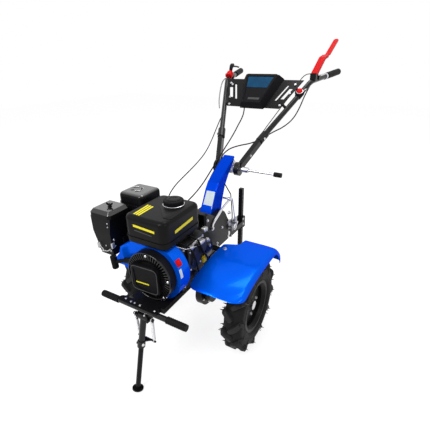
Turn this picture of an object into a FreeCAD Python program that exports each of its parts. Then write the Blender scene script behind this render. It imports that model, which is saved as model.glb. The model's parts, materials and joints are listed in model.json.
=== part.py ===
import FreeCAD, Part
import math
import os

# Two-wheel garden tiller on transport wheels, engine in front, handlebars behind.
# Lengths are millimetres, angles are degrees. +Z is up, the machine faces -Y and its own left is +X.
# Places are worked out from the wheel axle's line, and the finished model is then moved so that its
# origin lies on the floor under the middle of the machine's length.

Vector = FreeCAD.Vector

# ---------------------------------------------------------------- driving dimensions

ORIGIN_BEHIND_AXLE = 288.0

RUNNING_CLEARANCE = 0.05
SEAT_GAP = 0.3

# wheels
TYRE_RADIUS = 200.0
TYRE_WIDTH = 92.0
RIM_RADIUS = 108.0
RIM_WIDTH = 70.0
RIM_WALL = 3.0
RIM_FLANGE = 9.0
WHEEL_CENTRE_X = 267.0
TYRE_CARCASS_RADIUS = 184.0
TYRE_LUG_STAND = 3.0
TYRE_FACETS = 48
LUG_COUNT = 12
LUG_WIDTH = 20.0
LUG_ANGLE = 42.0
LUG_INNER_REACH = 5.0
AXLE_RADIUS = 15.0
HUB_RADIUS = 25.0
HUB_LENGTH = 118.0
HUB_FLANGE_RADIUS = 52.0
HUB_FLANGE_THICKNESS = 6.0
AXLE_NUT_RADIUS = 20.0
AXLE_NUT_LENGTH = 12.0

# frame under the engine
RAIL_OUTER_X = 79.0
RAIL_WIDTH = 30.0
RAIL_TOP_Z = 355.0
RAIL_HEIGHT = 22.0
RAIL_FRONT_Y = -352.0
RAIL_REAR_Y = -2.0
BED_THICKNESS = 6.0

# bumper and parking stand
BUMPER_LENGTH = 398.0
BUMPER_RADIUS = 10.5
BUMPER_END_LENGTH = 84.0
BUMPER_END_RADIUS = 12.5
BUMPER_RIB_STAND = 0.8
BUMPER_RIB_PITCH = 9.0
BUMPER_RIB_WIDTH = 4.0
BUMPER_END_WALL = 3.0
BUMPER_Y = -381.0
BUMPER_Z = 345.0
STRAP_RIGHT_X = -112.0
STRAP_LEFT_X = 75.0
STRAP_HALF_WIDTH = 15.0
STRAP_THICKNESS = 6.0
PIVOT_Y = -379.0
PIVOT_Z = 309.0
PIVOT_PIN_RADIUS = 6.0
STAND_EAR_GAP = 44.0
STAND_EAR_THICKNESS = 5.0
LEG_FORWARD_REACH = 81.0
SLEEVE_RADIUS = 12.5
SLEEVE_LENGTH = 126.0
SLEEVE_HEAD_RADIUS = 13.0
LEG_TUBE_RADIUS = 10.0
FOOT_RADIUS = 22.0
FOOT_THICKNESS = 5.0
SPRING_RADIUS = 5.5
SPRING_REACH = 104.0
SPRING_BEHIND = 32.0
SPRING_HIGH_X = 40.0
SPRING_LOW_X = 36.0
SPRING_ARM_HALF_WIDTH = 26.0
SPRING_ARM_THICKNESS = 4.0
SPRING_PIN_RADIUS = 4.0

# engine, with its crankshaft along Y
CRANK_Z = 457.0
ENGINE_FRONT_Y = -232.0
ENGINE_REAR_Y = -70.0
CRANKCASE_LEFT_X = 84.0
CRANKCASE_RIGHT_X = -70.0
CRANKCASE_TOP_Z = 548.0
HEAD_REACH_X = -198.0
HEAD_THICKNESS = 36.0
SHROUD_RADIUS = 119.0
SHROUD_FRONT_Y = -292.0
RECOIL_RADIUS = 100.0
RECOIL_FRONT_Y = -323.0
COVER_FRONT_Y = -343.0
COVER_RIM = 3.0
ROPE_END = (-128.0, -309.0, 478.0)
ROPE_OUTLET_RADIUS = 12.0
STARTER_NECK_RADIUS = 8.0
STARTER_GRIP_HIGH = (-177.0, -325.0, 496.0)
STARTER_GRIP_LOW = (-170.0, -325.0, 438.0)
STARTER_GRIP_RADIUS = 13.0
TANK_CENTRE_X = -25.0
TANK_HALF_WIDTH = 95.0
TANK_FRONT_Y = -304.0
TANK_REAR_Y = -68.0
TANK_BOTTOM_Z = 566.0
TANK_TOP_Z = 677.0
TANK_CORNER = 30.0
TANK_SHOULDER = 18.0
TANK_SEAM = 3.0
TANK_SEAM_Z = 592.0
CAP_RADIUS = 40.0
CAP_X = -6.0
CAP_Y = -141.0
CAP_HEIGHT = 22.0
AIR_RIGHT_X = -298.0
AIR_LEFT_X = -188.0
AIR_FRONT_Y = -305.0
AIR_REAR_Y = -190.0
AIR_TOP_Z = 662.0
AIR_LID_HEIGHT = 28.0
AIR_WAIST_DEPTH = 94.0
AIR_FOOT_Z = 470.0
AIR_CORNER = 16.0
AIR_HIP = 13.0
MUFFLER_RIGHT_X = -268.0
MUFFLER_LEFT_X = -142.0
MUFFLER_FRONT_Y = -172.0
MUFFLER_REAR_Y = -42.0
MUFFLER_BOTTOM_Z = 560.0
MUFFLER_TOP_Z = 692.0
MUFFLER_SEAM_Z = 640.0
MUFFLER_SEAM = 3.0
MUFFLER_CORNER = 20.0

# drive and tower
GEARBOX_HALF_WIDTH = 58.0
GEARBOX_FRONT_Y = -16.0
GEARBOX_REAR_Y = 205.0
GEARBOX_BOTTOM_Z = 372.0
LOWER_CASE_RADIUS = 72.0
LOWER_CASE_INNER_X = 30.0
LOWER_CASE_DRUM_X = 62.0
LOWER_CASE_OUTER_X = 92.0
FINAL_FLANGE_RADIUS = 50.0
TOWER_HALF_WIDTH = 29.0
TOWER_BEVEL = 4.0
GUARD_HEIGHT = 20.0
GUARD_BARREL_GAP = 10.0
GUARD_HEAD_GAP = 14.0
GUARD_SHEET = 3.0
GUARD_INNER_X = 98.0
GUARD_OUTER_X = 322.0
GUARD_STEP_X = 165.0
GUARD_STEP_Y = 80.0
GUARD_FRONT_Y = -222.0
GUARD_REAR_Y = 246.0
GUARD_BEND = 60.0
GUARD_ROLL = 12.0
GUARD_SKIRT = 22.0

# handlebars
HANDLE_PIVOT_Y = 300.0
HANDLE_PIVOT_Z = 706.0
ARM_INNER_X = 42.0
ARM_THICKNESS = 24.0
ARM_DEPTH = 32.0
ARM_DISC_RADIUS = 32.0
CLAMP_BOLT_RADIUS = 9.0
CLAMP_STANDOFF = 9.0
ARM_TOP = (112.0, 438.0, 832.0)
BAR_BEND = (241.0, 746.0, 1074.0)
GRIP_END = (307.0, 1059.0, 1110.0)
BAR_RADIUS = 13.0
GRIP_RADIUS = 17.0
PLATE_LOW = (560.0, 957.0)
PLATE_HIGH = (701.0, 1081.0)
PLATE_LENGTH = 188.0
PLATE_LOW_HALF = 145.0
PLATE_HIGH_HALF = 217.0
PLATE_THICKNESS = 3.0
CONSOLE_LIFT = 38.0
CONSOLE_EDGE = 6.0
CONSOLE_RECESS = 3.0
CONSOLE_PANEL = 0.84
LEVER_SLEW = 6.9
LEVER_CHANNEL = 12.0
LEVER_SHEET = 6.0
SHIFT_X = 61.0
SHIFT_THICKNESS = 4.0
SHIFT_WIDTH = 13.0
CABLE_DIAMETER = 6.0
GRIP_LENGTH = 135.0

# rear depth bar
DEPTH_BAR_Y = 458.0
DEPTH_BAR_SIDE = 22.0
DEPTH_BAR_TOP_Z = 545.0
DEPTH_BAR_BOTTOM_Z = 190.0
HITCH_Z = 345.0
HITCH_ARM_HEIGHT = 28.0
HITCH_ARM_WIDTH = 44.0
HITCH_PIN_Y = 370.0
HITCH_PIN_RADIUS = 8.0
SOCKET_WALL = 8.0
SOCKET_HEIGHT = 64.0


# ---------------------------------------------------------------- plain shape helpers

def box(x0, x1, y0, y1, z0, z1):
    """A block between two x, two y and two z values."""
    return Part.makeBox(x1 - x0, y1 - y0, z1 - z0, Vector(x0, y0, z0))


def cylinder(radius, start, end):
    """A round bar from one point to another."""
    a = Vector(*start)
    b = Vector(*end)
    return Part.makeCylinder(radius, (b - a).Length, a, b - a)


def ring(outer, inner, start, end):
    """A round tube from one point to another."""
    return cylinder(outer, start, end).cut(cylinder(inner, start, end))


def fuse(*shapes):
    """Several overlapping or touching shapes as one solid."""
    joined = shapes[0].multiFuse(list(shapes[1:])).removeSplitter()
    return joined.Solids[0] if len(joined.Solids) == 1 else joined


def mirrored(shape):
    """The same piece on the other side of the machine."""
    return shape.mirror(Vector(0, 0, 0), Vector(1, 0, 0))


def upright_edges(shape):
    """The edges of a shape that run along Z."""
    return [e for e in shape.Edges if is_along(e, Vector(0, 0, 1))]


def is_along(edge, direction):
    """Whether an edge is straight and parallel to a direction."""
    if len(edge.Vertexes) != 2 or not isinstance(edge.Curve, Part.Line):
        return False
    run = edge.Vertexes[1].Point - edge.Vertexes[0].Point
    return run.cross(direction).Length < 1e-6 * run.Length


def rounded_box(x0, x1, y0, y1, z0, z1, corner):
    """A block whose upright edges are rounded."""
    block = box(x0, x1, y0, y1, z0, z1)
    return block.makeFillet(corner, upright_edges(block))


def prism(points, direction):
    """A flat closed outline pushed along a direction."""
    corners = [Vector(*p) for p in points]
    outline = Part.makePolygon(corners + corners[:1])
    return Part.Face(outline).extrude(Vector(*direction))


def side_plate(profile, x0, x1):
    """An outline in the Y-Z plane, as thick as x0 to x1."""
    return prism([(x0, y, z) for y, z in profile], (x1 - x0, 0, 0))


def front_plate(profile, y0, y1):
    """An outline in the X-Z plane, as thick as y0 to y1."""
    return prism([(x, y0, z) for x, z in profile], (0, y1 - y0, 0))


def bevelled(shape, half_width, size):
    """A plate with the edges of its two side faces cut back."""
    sides = [e for e in shape.Edges if all(abs(abs(v.X) - half_width) < 0.01 for v in e.Vertexes)
             and e.Vertexes[0].X * e.Vertexes[-1].X > 0]
    return shape.makeChamfer(size, sides)


def strip(line, width):
    """The closed outline of a flat bar whose middle follows a line of (y, z) points."""
    one_side = []
    other_side = []
    for i, (y, z) in enumerate(line):
        before = line[max(i - 1, 0)]
        after = line[min(i + 1, len(line) - 1)]
        run = math.hypot(after[0] - before[0], after[1] - before[1])
        dy = -(after[1] - before[1]) / run * width / 2
        dz = (after[0] - before[0]) / run * width / 2
        one_side.append((y + dy, z + dz))
        other_side.append((y - dy, z - dz))
    return one_side + other_side[::-1]


def bent_path(points, bend_radius):
    """Straight runs between the points, joined by tangent arcs."""
    corners = [Vector(*p) for p in points]
    edges = []
    start = corners[0]
    for before, corner, after in zip(corners, corners[1:], corners[2:]):
        back = (before - corner).normalize()
        on = (after - corner).normalize()
        half_turn = (math.pi - back.getAngle(on)) / 2
        trim = bend_radius * math.tan(half_turn)
        arc_start = corner + back * trim
        arc_end = corner + on * trim
        middle = (back + on).normalize()
        arc_middle = corner + middle * (bend_radius / math.cos(half_turn) - bend_radius)
        edges.append(Part.LineSegment(start, arc_start).toShape())
        edges.append(Part.Arc(arc_start, arc_middle, arc_end).toShape())
        start = arc_end
    edges.append(Part.LineSegment(start, corners[-1]).toShape())
    return Part.Wire(edges)


def bent_tube(points, bend_radius, radius):
    """A round bar along a bent path."""
    path = bent_path(points, bend_radius)
    direction = Vector(*points[1]) - Vector(*points[0])
    section = Part.Wire([Part.makeCircle(radius, Vector(*points[0]), direction)])
    return path.makePipeShell([section], True, False)


def revolved(profile, x_centre):
    """A closed outline of (x from the wheel's middle, radius) points, turned about the axle's line."""
    corners = [Vector(x_centre + x, 0, TYRE_RADIUS + r) for x, r in profile]
    face = Part.Face(Part.makePolygon(corners + corners[:1]))
    return face.revolve(Vector(x_centre, 0, TYRE_RADIUS), Vector(1, 0, 0), 360)


# ---------------------------------------------------------------- wheels

def wheel_point(x, radius, turn):
    """A point on the left wheel: across, out from the axle's line, and round it."""
    angle = math.radians(turn)
    return Vector(WHEEL_CENTRE_X + x, radius * math.sin(angle), TYRE_RADIUS - radius * math.cos(angle))


def tyre_body():
    """Carcass of the left tyre, seated on the rim, with flat facets round the axle."""
    half = TYRE_WIDTH / 2 - TYRE_LUG_STAND
    facet = 360 / TYRE_FACETS
    bead = RIM_WIDTH / 2 - RIM_WALL - SEAT_GAP
    bead_foot = (RIM_RADIUS + SEAT_GAP) / math.cos(math.radians(facet / 2))
    bead_top = (RIM_RADIUS + RIM_FLANGE + SEAT_GAP) / math.cos(math.radians(facet / 2))
    one_side = [(bead, bead_foot), (bead, bead_top), (half - 4, bead_top + 10), (half, bead_top + 32),
                (half - 3, TYRE_CARCASS_RADIUS - 18), (half - 16, TYRE_CARCASS_RADIUS - 3)]
    outline = one_side + [(0, TYRE_CARCASS_RADIUS)] + [(-x, r) for x, r in one_side[::-1]]
    faces = []
    for i in range(TYRE_FACETS):
        for (x0, r0), (x1, r1) in zip(outline, outline[1:] + outline[:1]):
            corners = [wheel_point(x0, r0, i * facet), wheel_point(x1, r1, i * facet),
                       wheel_point(x1, r1, (i + 1) * facet), wheel_point(x0, r0, (i + 1) * facet)]
            faces.append(Part.Face(Part.makePolygon(corners + corners[:1])))
    body = Part.makeSolid(Part.makeShell(faces))
    if body.Volume < 0:
        body.reverse()
    return body


def tyre_lug(turn, side):
    """One slanted bar, from the middle of the tread out over the shoulder."""
    slant = math.radians(LUG_ANGLE)
    reach = (TYRE_WIDTH / 2 - LUG_WIDTH / 2 * math.sin(slant)) / math.cos(slant)
    inside = TYRE_CARCASS_RADIUS - 14
    outline = [(-LUG_INNER_REACH, inside)]
    for along in (-LUG_INNER_REACH, reach * 0.4, reach * 0.78):
        behind = along * math.sin(slant) + LUG_WIDTH / 2
        outline.append((along, math.sqrt(TYRE_RADIUS ** 2 - behind ** 2)))
    outline += [(reach, TYRE_RADIUS - 18), (reach, TYRE_CARCASS_RADIUS - 34)]
    outline += [(reach - 14, TYRE_CARCASS_RADIUS - 40)]
    bar = prism([(along, -LUG_WIDTH / 2, r) for along, r in outline], (0, LUG_WIDTH, 0))
    bar.rotate(Vector(0, 0, 0), Vector(0, 0, 1), LUG_ANGLE)
    if side < 0:
        bar = mirrored(bar)
    bar.rotate(Vector(0, 0, 0), Vector(1, 0, 0), turn)
    bar.translate(Vector(WHEEL_CENTRE_X, 0, TYRE_RADIUS))
    return bar


def tyre():
    """Left tyre with its two rows of slanted lugs."""
    pitch = 360 / LUG_COUNT
    bars = []
    for i in range(LUG_COUNT):
        bars.append(tyre_lug(180 + i * pitch, 1))
        bars.append(tyre_lug(180 + (i + 0.5) * pitch, -1))
    return tyre_body().multiFuse(bars).Solids[0]


def rim():
    """Pressed rim of the left wheel with its flat disc, bolted to the hub's flange."""
    half = RIM_WIDTH / 2
    well = RIM_RADIUS - 14
    outside = [(-half, RIM_RADIUS + RIM_FLANGE), (-half, RIM_RADIUS - RIM_WALL), (-half + 16, well), (half - 16, well),
               (half, RIM_RADIUS - RIM_WALL), (half, RIM_RADIUS + RIM_FLANGE)]
    inside = [(half - RIM_WALL, RIM_RADIUS + RIM_FLANGE), (half - RIM_WALL, RIM_RADIUS),
              (half - 16 - RIM_WALL, well + RIM_WALL), (-half + 16 + RIM_WALL, well + RIM_WALL),
              (-half + RIM_WALL, RIM_RADIUS), (-half + RIM_WALL, RIM_RADIUS + RIM_FLANGE)]
    band = revolved(outside + inside, WHEEL_CENTRE_X)
    disc = ring(well + 0.5, HUB_RADIUS, (WHEEL_CENTRE_X, 0, TYRE_RADIUS),
                (WHEEL_CENTRE_X + RIM_WALL + 1, 0, TYRE_RADIUS))
    return fuse(band, disc)


def hub():
    """Long hub of the left wheel, running on the axle, with the flange that carries the disc."""
    inner_x = WHEEL_CENTRE_X - HUB_LENGTH
    tube = cylinder(HUB_RADIUS, (inner_x, 0, TYRE_RADIUS), (WHEEL_CENTRE_X, 0, TYRE_RADIUS))
    nose = cylinder(HUB_RADIUS, (WHEEL_CENTRE_X, 0, TYRE_RADIUS),
                    (WHEEL_CENTRE_X + RIM_WALL + 7, 0, TYRE_RADIUS))
    flange = cylinder(HUB_FLANGE_RADIUS, (WHEEL_CENTRE_X - HUB_FLANGE_THICKNESS, 0, TYRE_RADIUS),
                      (WHEEL_CENTRE_X, 0, TYRE_RADIUS))
    bore = cylinder(AXLE_RADIUS + RUNNING_CLEARANCE, (inner_x - 1, 0, TYRE_RADIUS),
                    (WHEEL_CENTRE_X + 30, 0, TYRE_RADIUS))
    return fuse(tube, nose, flange).cut(bore).Solids[0]


def axle_shaft(inner_x):
    """One half of the axle, from the lower gear case to the nut outside the hub."""
    end_x = WHEEL_CENTRE_X + RIM_WALL + 7 + 0.5
    shaft = cylinder(AXLE_RADIUS, (inner_x, 0, TYRE_RADIUS), (end_x, 0, TYRE_RADIUS))
    nut = cylinder(AXLE_NUT_RADIUS, (end_x, 0, TYRE_RADIUS), (end_x + AXLE_NUT_LENGTH, 0, TYRE_RADIUS))
    return fuse(shaft, nut)


# ---------------------------------------------------------------- frame, bumper, stand

def frame_rails():
    """Two rails joined by a bed plate under the engine and a front cross-member."""
    bottom = RAIL_TOP_Z - RAIL_HEIGHT
    inner = RAIL_OUTER_X - RAIL_WIDTH
    left = box(inner, RAIL_OUTER_X, RAIL_FRONT_Y, RAIL_REAR_Y, bottom, RAIL_TOP_Z)
    right = mirrored(left)
    bed = box(-RAIL_OUTER_X, RAIL_OUTER_X, ENGINE_FRONT_Y - 20, ENGINE_REAR_Y + 10,
              RAIL_TOP_Z - BED_THICKNESS, RAIL_TOP_Z)
    cross = box(-RAIL_OUTER_X, RAIL_OUTER_X, RAIL_FRONT_Y, RAIL_FRONT_Y + 40,
                RAIL_TOP_Z - BED_THICKNESS, RAIL_TOP_Z)
    foot = box(-RAIL_OUTER_X, RAIL_OUTER_X, GEARBOX_FRONT_Y, RAIL_REAR_Y, RAIL_TOP_Z, GEARBOX_BOTTOM_Z)
    return fuse(left, right, bed, cross, foot)


def bumper_bar():
    """Round bar across the front."""
    half = BUMPER_LENGTH / 2 - BUMPER_END_WALL
    return cylinder(BUMPER_RADIUS, (-half, BUMPER_Y, BUMPER_Z), (half, BUMPER_Y, BUMPER_Z))


def bumper_end():
    """Ribbed rubber cap on the left end of the bumper."""
    half = BUMPER_LENGTH / 2
    start = half - BUMPER_END_LENGTH
    sleeve = cylinder(BUMPER_END_RADIUS, (start, BUMPER_Y, BUMPER_Z), (half, BUMPER_Y, BUMPER_Z))
    ribs = []
    for i in range(int(BUMPER_END_LENGTH / BUMPER_RIB_PITCH)):
        x = start + i * BUMPER_RIB_PITCH
        ribs.append(cylinder(BUMPER_END_RADIUS + BUMPER_RIB_STAND, (x, BUMPER_Y, BUMPER_Z),
                             (x + BUMPER_RIB_WIDTH, BUMPER_Y, BUMPER_Z)))
    inside = cylinder(BUMPER_RADIUS + SEAT_GAP, (start - 1, BUMPER_Y, BUMPER_Z),
                      (half - BUMPER_END_WALL + SEAT_GAP, BUMPER_Y, BUMPER_Z))
    return fuse(sleeve, *ribs).cut(inside)


def bumper_bracket():
    """Folded plate that clamps the bumper to the frame and carries the stand's two ears."""
    strap_z = BUMPER_Z + BUMPER_RADIUS
    top = box(-60, 60, BUMPER_Y - 14, RAIL_FRONT_Y, strap_z, strap_z + STRAP_THICKNESS)
    strap = rounded_box(STRAP_RIGHT_X, STRAP_LEFT_X, BUMPER_Y - STRAP_HALF_WIDTH, BUMPER_Y + STRAP_HALF_WIDTH,
                        strap_z, strap_z + STRAP_THICKNESS, STRAP_HALF_WIDTH - 0.1)
    back = box(-60, 60, RAIL_FRONT_Y - 6, RAIL_FRONT_Y, RAIL_TOP_Z - RAIL_HEIGHT, BUMPER_Z + BUMPER_RADIUS)
    inner = STAND_EAR_GAP / 2
    profile = [(RAIL_FRONT_Y, RAIL_TOP_Z - RAIL_HEIGHT), (RAIL_FRONT_Y, PIVOT_Z - 8),
               (PIVOT_Y + 6, PIVOT_Z - 15), (PIVOT_Y - 12, PIVOT_Z - 13), (PIVOT_Y - 12, PIVOT_Z + 12),
               (RAIL_FRONT_Y - 6, RAIL_TOP_Z - RAIL_HEIGHT)]
    ear = side_plate(profile, inner, inner + STAND_EAR_THICKNESS)
    bore = cylinder(PIVOT_PIN_RADIUS, (-80, PIVOT_Y, PIVOT_Z), (80, PIVOT_Y, PIVOT_Z))
    bar = bumper_bar()
    return fuse(top, strap, back, ear, mirrored(ear)).cut(bore).cut(bar)


def leg_point(distance, side=0.0, ahead=0.0):
    """A point down the leg from its pivot, with an offset to the side and one ahead of the leg."""
    drop = PIVOT_Z - 0.0
    length = math.hypot(drop, LEG_FORWARD_REACH)
    along = Vector(0, -LEG_FORWARD_REACH / length, -drop / length)
    front = Vector(0, -drop / length, LEG_FORWARD_REACH / length)
    p = Vector(0, PIVOT_Y, PIVOT_Z) + along * distance + front * ahead
    return (side, p.y, p.z)


def leg_length():
    """Distance from the pivot to the floor along the leg, less what the foot's tilt takes."""
    lean = math.atan2(LEG_FORWARD_REACH, PIVOT_Z)
    reach = math.hypot(PIVOT_Z, LEG_FORWARD_REACH)
    return reach - FOOT_RADIUS * math.tan(lean)


def pivot_pin():
    """Pin through the ears and the head of the leg."""
    half = STAND_EAR_GAP / 2 + STAND_EAR_THICKNESS
    end = max(half, SPRING_HIGH_X) + 7
    return cylinder(PIVOT_PIN_RADIUS, (-end, PIVOT_Y, PIVOT_Z), (end, PIVOT_Y, PIVOT_Z))


def spring_pin_point(side):
    """A point on the cross pin behind the leg that holds the lower ends of the springs."""
    return leg_point(SPRING_REACH + SPRING_ARM_THICKNESS / 2, side, -SPRING_BEHIND)


def spring_arm():
    """Flared plate behind the leg with its cross pin."""
    root = SLEEVE_RADIUS / 2
    outline = [leg_point(SPRING_REACH, -root, -root), leg_point(SPRING_REACH, root, -root),
               leg_point(SPRING_REACH, SPRING_ARM_HALF_WIDTH, -SPRING_BEHIND),
               leg_point(SPRING_REACH, -SPRING_ARM_HALF_WIDTH, -SPRING_BEHIND)]
    down = Vector(*leg_point(SPRING_REACH + SPRING_ARM_THICKNESS)) - Vector(*leg_point(SPRING_REACH))
    end = SPRING_LOW_X + 7
    pin = cylinder(SPRING_PIN_RADIUS, spring_pin_point(-end), spring_pin_point(end))
    return fuse(prism(outline, tuple(down)), pin)


def stand_sleeve():
    """Outer tube of the telescopic leg: head on the pin, clamp at the lower end, and the spring arm."""
    bore = cylinder(PIVOT_PIN_RADIUS + RUNNING_CLEARANCE, (-40, PIVOT_Y, PIVOT_Z), (40, PIVOT_Y, PIVOT_Z))
    head_half = STAND_EAR_GAP / 2 - 1.0
    head = cylinder(SLEEVE_HEAD_RADIUS, (-head_half, PIVOT_Y, PIVOT_Z), (head_half, PIVOT_Y, PIVOT_Z))
    sleeve = cylinder(SLEEVE_RADIUS, leg_point(0), leg_point(SLEEVE_LENGTH))
    clamp = cylinder(SLEEVE_RADIUS + 3, leg_point(SLEEVE_LENGTH - 26), leg_point(SLEEVE_LENGTH))
    hollow = cylinder(LEG_TUBE_RADIUS + SEAT_GAP, leg_point(30), leg_point(SLEEVE_LENGTH + 1))
    return fuse(head, sleeve, clamp, spring_arm()).cut(bore).cut(hollow)


def stand_springs():
    """Two return springs as plain bars, from rings on the pivot pin to rings on the pin behind the leg."""
    pieces = []
    for side in (-1, 1):
        high = Vector(side * SPRING_HIGH_X, PIVOT_Y, PIVOT_Z)
        low = Vector(*spring_pin_point(side * SPRING_LOW_X))
        along = (low - high).normalize()
        half = Vector(3, 0, 0)
        high_eye = ring(PIVOT_PIN_RADIUS + 4, PIVOT_PIN_RADIUS + RUNNING_CLEARANCE, tuple(high - half),
                        tuple(high + half))
        low_eye = ring(SPRING_PIN_RADIUS + 3, SPRING_PIN_RADIUS + RUNNING_CLEARANCE, tuple(low - half),
                       tuple(low + half))
        coil = cylinder(SPRING_RADIUS, tuple(high + along * (PIVOT_PIN_RADIUS + 3)),
                        tuple(low - along * (SPRING_PIN_RADIUS + 2)))
        pieces.append(fuse(high_eye, coil, low_eye))
    return Part.makeCompound(pieces)


def stand_foot():
    """Inner tube of the leg with the round foot."""
    end = leg_length()
    tube = cylinder(LEG_TUBE_RADIUS, leg_point(30), leg_point(end - FOOT_THICKNESS))
    foot = cylinder(FOOT_RADIUS, leg_point(end - FOOT_THICKNESS), leg_point(end))
    return fuse(tube, foot)


# ---------------------------------------------------------------- engine

def guard_top():
    """Height of the mudguards' flat top."""
    return 2 * TYRE_RADIUS + GUARD_HEIGHT


def engine_block():
    """Crankcase as one block, with the cylinder leaning to the machine's right."""
    case = rounded_box(CRANKCASE_RIGHT_X, CRANKCASE_LEFT_X, ENGINE_FRONT_Y, ENGINE_REAR_Y,
                       RAIL_TOP_Z, CRANKCASE_TOP_Z, 14)
    barrel = box(HEAD_REACH_X + HEAD_THICKNESS, CRANKCASE_RIGHT_X, ENGINE_FRONT_Y, ENGINE_REAR_Y - 30,
                 guard_top() + GUARD_BARREL_GAP, 546)
    return fuse(case, barrel)


def cylinder_head():
    """Cylinder head and rocker cover."""
    return rounded_box(HEAD_REACH_X, HEAD_REACH_X + HEAD_THICKNESS, -210, ENGINE_REAR_Y - 36,
                       guard_top() + GUARD_HEAD_GAP, 542, 6)


def shroud_outline(y0, y1, grow=0.0):
    """Fan circle with the duct towards the cylinder."""
    drum = cylinder(SHROUD_RADIUS + grow, (0, y0, CRANK_Z), (0, y1, CRANK_Z))
    duct = front_plate([(10, CRANK_Z + 113), (-100, CRANK_Z + 106), (-164, CRANK_Z + 66),
                        (-180, CRANK_Z + 22), (-174, CRANK_Z - 6), (-80, CRANK_Z - 72)], y0, y1)
    return fuse(drum, duct)


def blower_shroud():
    """Sheet housing of the fan in front of the engine."""
    body = shroud_outline(SHROUD_FRONT_Y, ENGINE_FRONT_Y)
    return body.common(box(-400, 400, -600, 0, RAIL_TOP_Z, TANK_BOTTOM_Z))


def recoil_housing():
    """Round housing of the recoil starter with its rope outlet."""
    drum = cylinder(RECOIL_RADIUS, (0, SHROUD_FRONT_Y, CRANK_Z), (0, RECOIL_FRONT_Y, CRANK_Z))
    outlet = cylinder(ROPE_OUTLET_RADIUS, (-70, SHROUD_FRONT_Y - 16, CRANK_Z + 40), ROPE_END)
    return fuse(drum, outlet).common(box(-300, 300, RECOIL_FRONT_Y, SHROUD_FRONT_Y, 0, 900))


def recoil_cover():
    """Rounded cover on the recoil housing, with a raised rim round its panel."""
    outline = [(-77, 498), (30, 507), (50, 488), (56, 404), (40, 388), (-50, 394), (-67, 408)]
    cover = front_plate(outline, COVER_FRONT_Y, RECOIL_FRONT_Y)
    corners = [e for e in cover.Edges if is_along(e, Vector(0, 1, 0))]
    cover = cover.makeFillet(9, corners)
    front = [e for e in cover.Edges if all(abs(v.Y - COVER_FRONT_Y) < 0.01 for v in e.Vertexes)]
    cover = cover.makeChamfer(4, front)
    middle_x = sum(x for x, z in outline) / len(outline)
    middle_z = sum(z for x, z in outline) / len(outline)
    panel = [(middle_x + (x - middle_x) * 0.8, middle_z + (z - middle_z) * 0.8) for x, z in outline]
    return cover.cut(front_plate(panel, COVER_FRONT_Y - 1, COVER_FRONT_Y + COVER_RIM))


def starter_grip():
    """T-shaped handle on the starter rope."""
    bar = cylinder(STARTER_GRIP_RADIUS, STARTER_GRIP_HIGH, STARTER_GRIP_LOW)
    bar = bar.makeFillet(STARTER_GRIP_RADIUS / 2, [e for e in bar.Edges if isinstance(e.Curve, Part.Circle)])
    neck = cylinder(STARTER_NECK_RADIUS, ROPE_END, between(STARTER_GRIP_HIGH, STARTER_GRIP_LOW, 0.5))
    return fuse(bar, neck).cut(recoil_housing()).Solids[0]


def fuel_tank():
    """Pressed steel tank on top of the engine, with the seam of its two halves."""
    x0 = TANK_CENTRE_X - TANK_HALF_WIDTH
    x1 = TANK_CENTRE_X + TANK_HALF_WIDTH
    tank = rounded_box(x0, x1, TANK_FRONT_Y, TANK_REAR_Y, TANK_BOTTOM_Z, TANK_TOP_Z, TANK_CORNER)
    top = [e for e in tank.Edges if min(v.Z for v in e.Vertexes) > TANK_TOP_Z - 0.1]
    tank = tank.makeFillet(TANK_SHOULDER, top)
    bottom = [e for e in tank.Edges if max(v.Z for v in e.Vertexes) < TANK_BOTTOM_Z + 0.1]
    tank = tank.makeFillet(TANK_SHOULDER / 2, bottom)
    seam = rounded_box(x0 - TANK_SEAM, x1 + TANK_SEAM, TANK_FRONT_Y - TANK_SEAM, TANK_REAR_Y + TANK_SEAM,
                       TANK_SEAM_Z, TANK_SEAM_Z + 3, TANK_CORNER + TANK_SEAM)
    return fuse(tank, seam)


def fuel_cap():
    """Round screw cap with a rounded rim."""
    cap = cylinder(CAP_RADIUS, (CAP_X, CAP_Y, TANK_TOP_Z), (CAP_X, CAP_Y, TANK_TOP_Z + CAP_HEIGHT))
    rim = [e for e in cap.Edges if min(v.Z for v in e.Vertexes) > TANK_TOP_Z + CAP_HEIGHT - 0.1]
    return cap.makeFillet(6, rim)


def tank_bracket():
    """Posts between crankcase and tank."""
    return box(-60, 50, ENGINE_FRONT_Y + 20, ENGINE_REAR_Y - 50, CRANKCASE_TOP_Z, TANK_BOTTOM_Z)


def air_cleaner():
    """Air filter box at the machine's right: a lid on a body that narrows towards its foot."""
    lid_z = AIR_TOP_Z - AIR_LID_HEIGHT
    lid = rounded_box(AIR_RIGHT_X, AIR_LEFT_X, AIR_FRONT_Y, AIR_REAR_Y, lid_z, AIR_TOP_Z, AIR_CORNER)
    rim = [e for e in lid.Edges if min(v.Z for v in e.Vertexes) > AIR_TOP_Z - 0.1]
    lid = lid.makeChamfer(AIR_HIP, rim)
    sections = []
    for right, left, front, rear, z in ((3, 3, 3, 3, lid_z), (4, 14, 3, 3, AIR_TOP_Z - AIR_WAIST_DEPTH),
                                        (30, 14, 7, 30, AIR_FOOT_Z)):
        x0 = AIR_RIGHT_X + right
        x1 = AIR_LEFT_X - left
        y0 = AIR_FRONT_Y + front
        y1 = AIR_REAR_Y - rear
        corners = [Vector(x0, y0, z), Vector(x1, y0, z), Vector(x1, y1, z), Vector(x0, y1, z)]
        sections.append(Part.makePolygon(corners + corners[:1]))
    body = Part.makeLoft(sections, True, True)
    return fuse(lid, body)


def carburettor():
    """Carburettor between the head and the air filter box."""
    return box(-236, HEAD_REACH_X, -240, -150, 480, 528).cut(air_cleaner()).Solids[-1]


def exhaust_pipe():
    """Short pipe from the head up to the muffler."""
    return cylinder(14, (-180, -135, 542), (-180, -135, MUFFLER_BOTTOM_Z))


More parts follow.
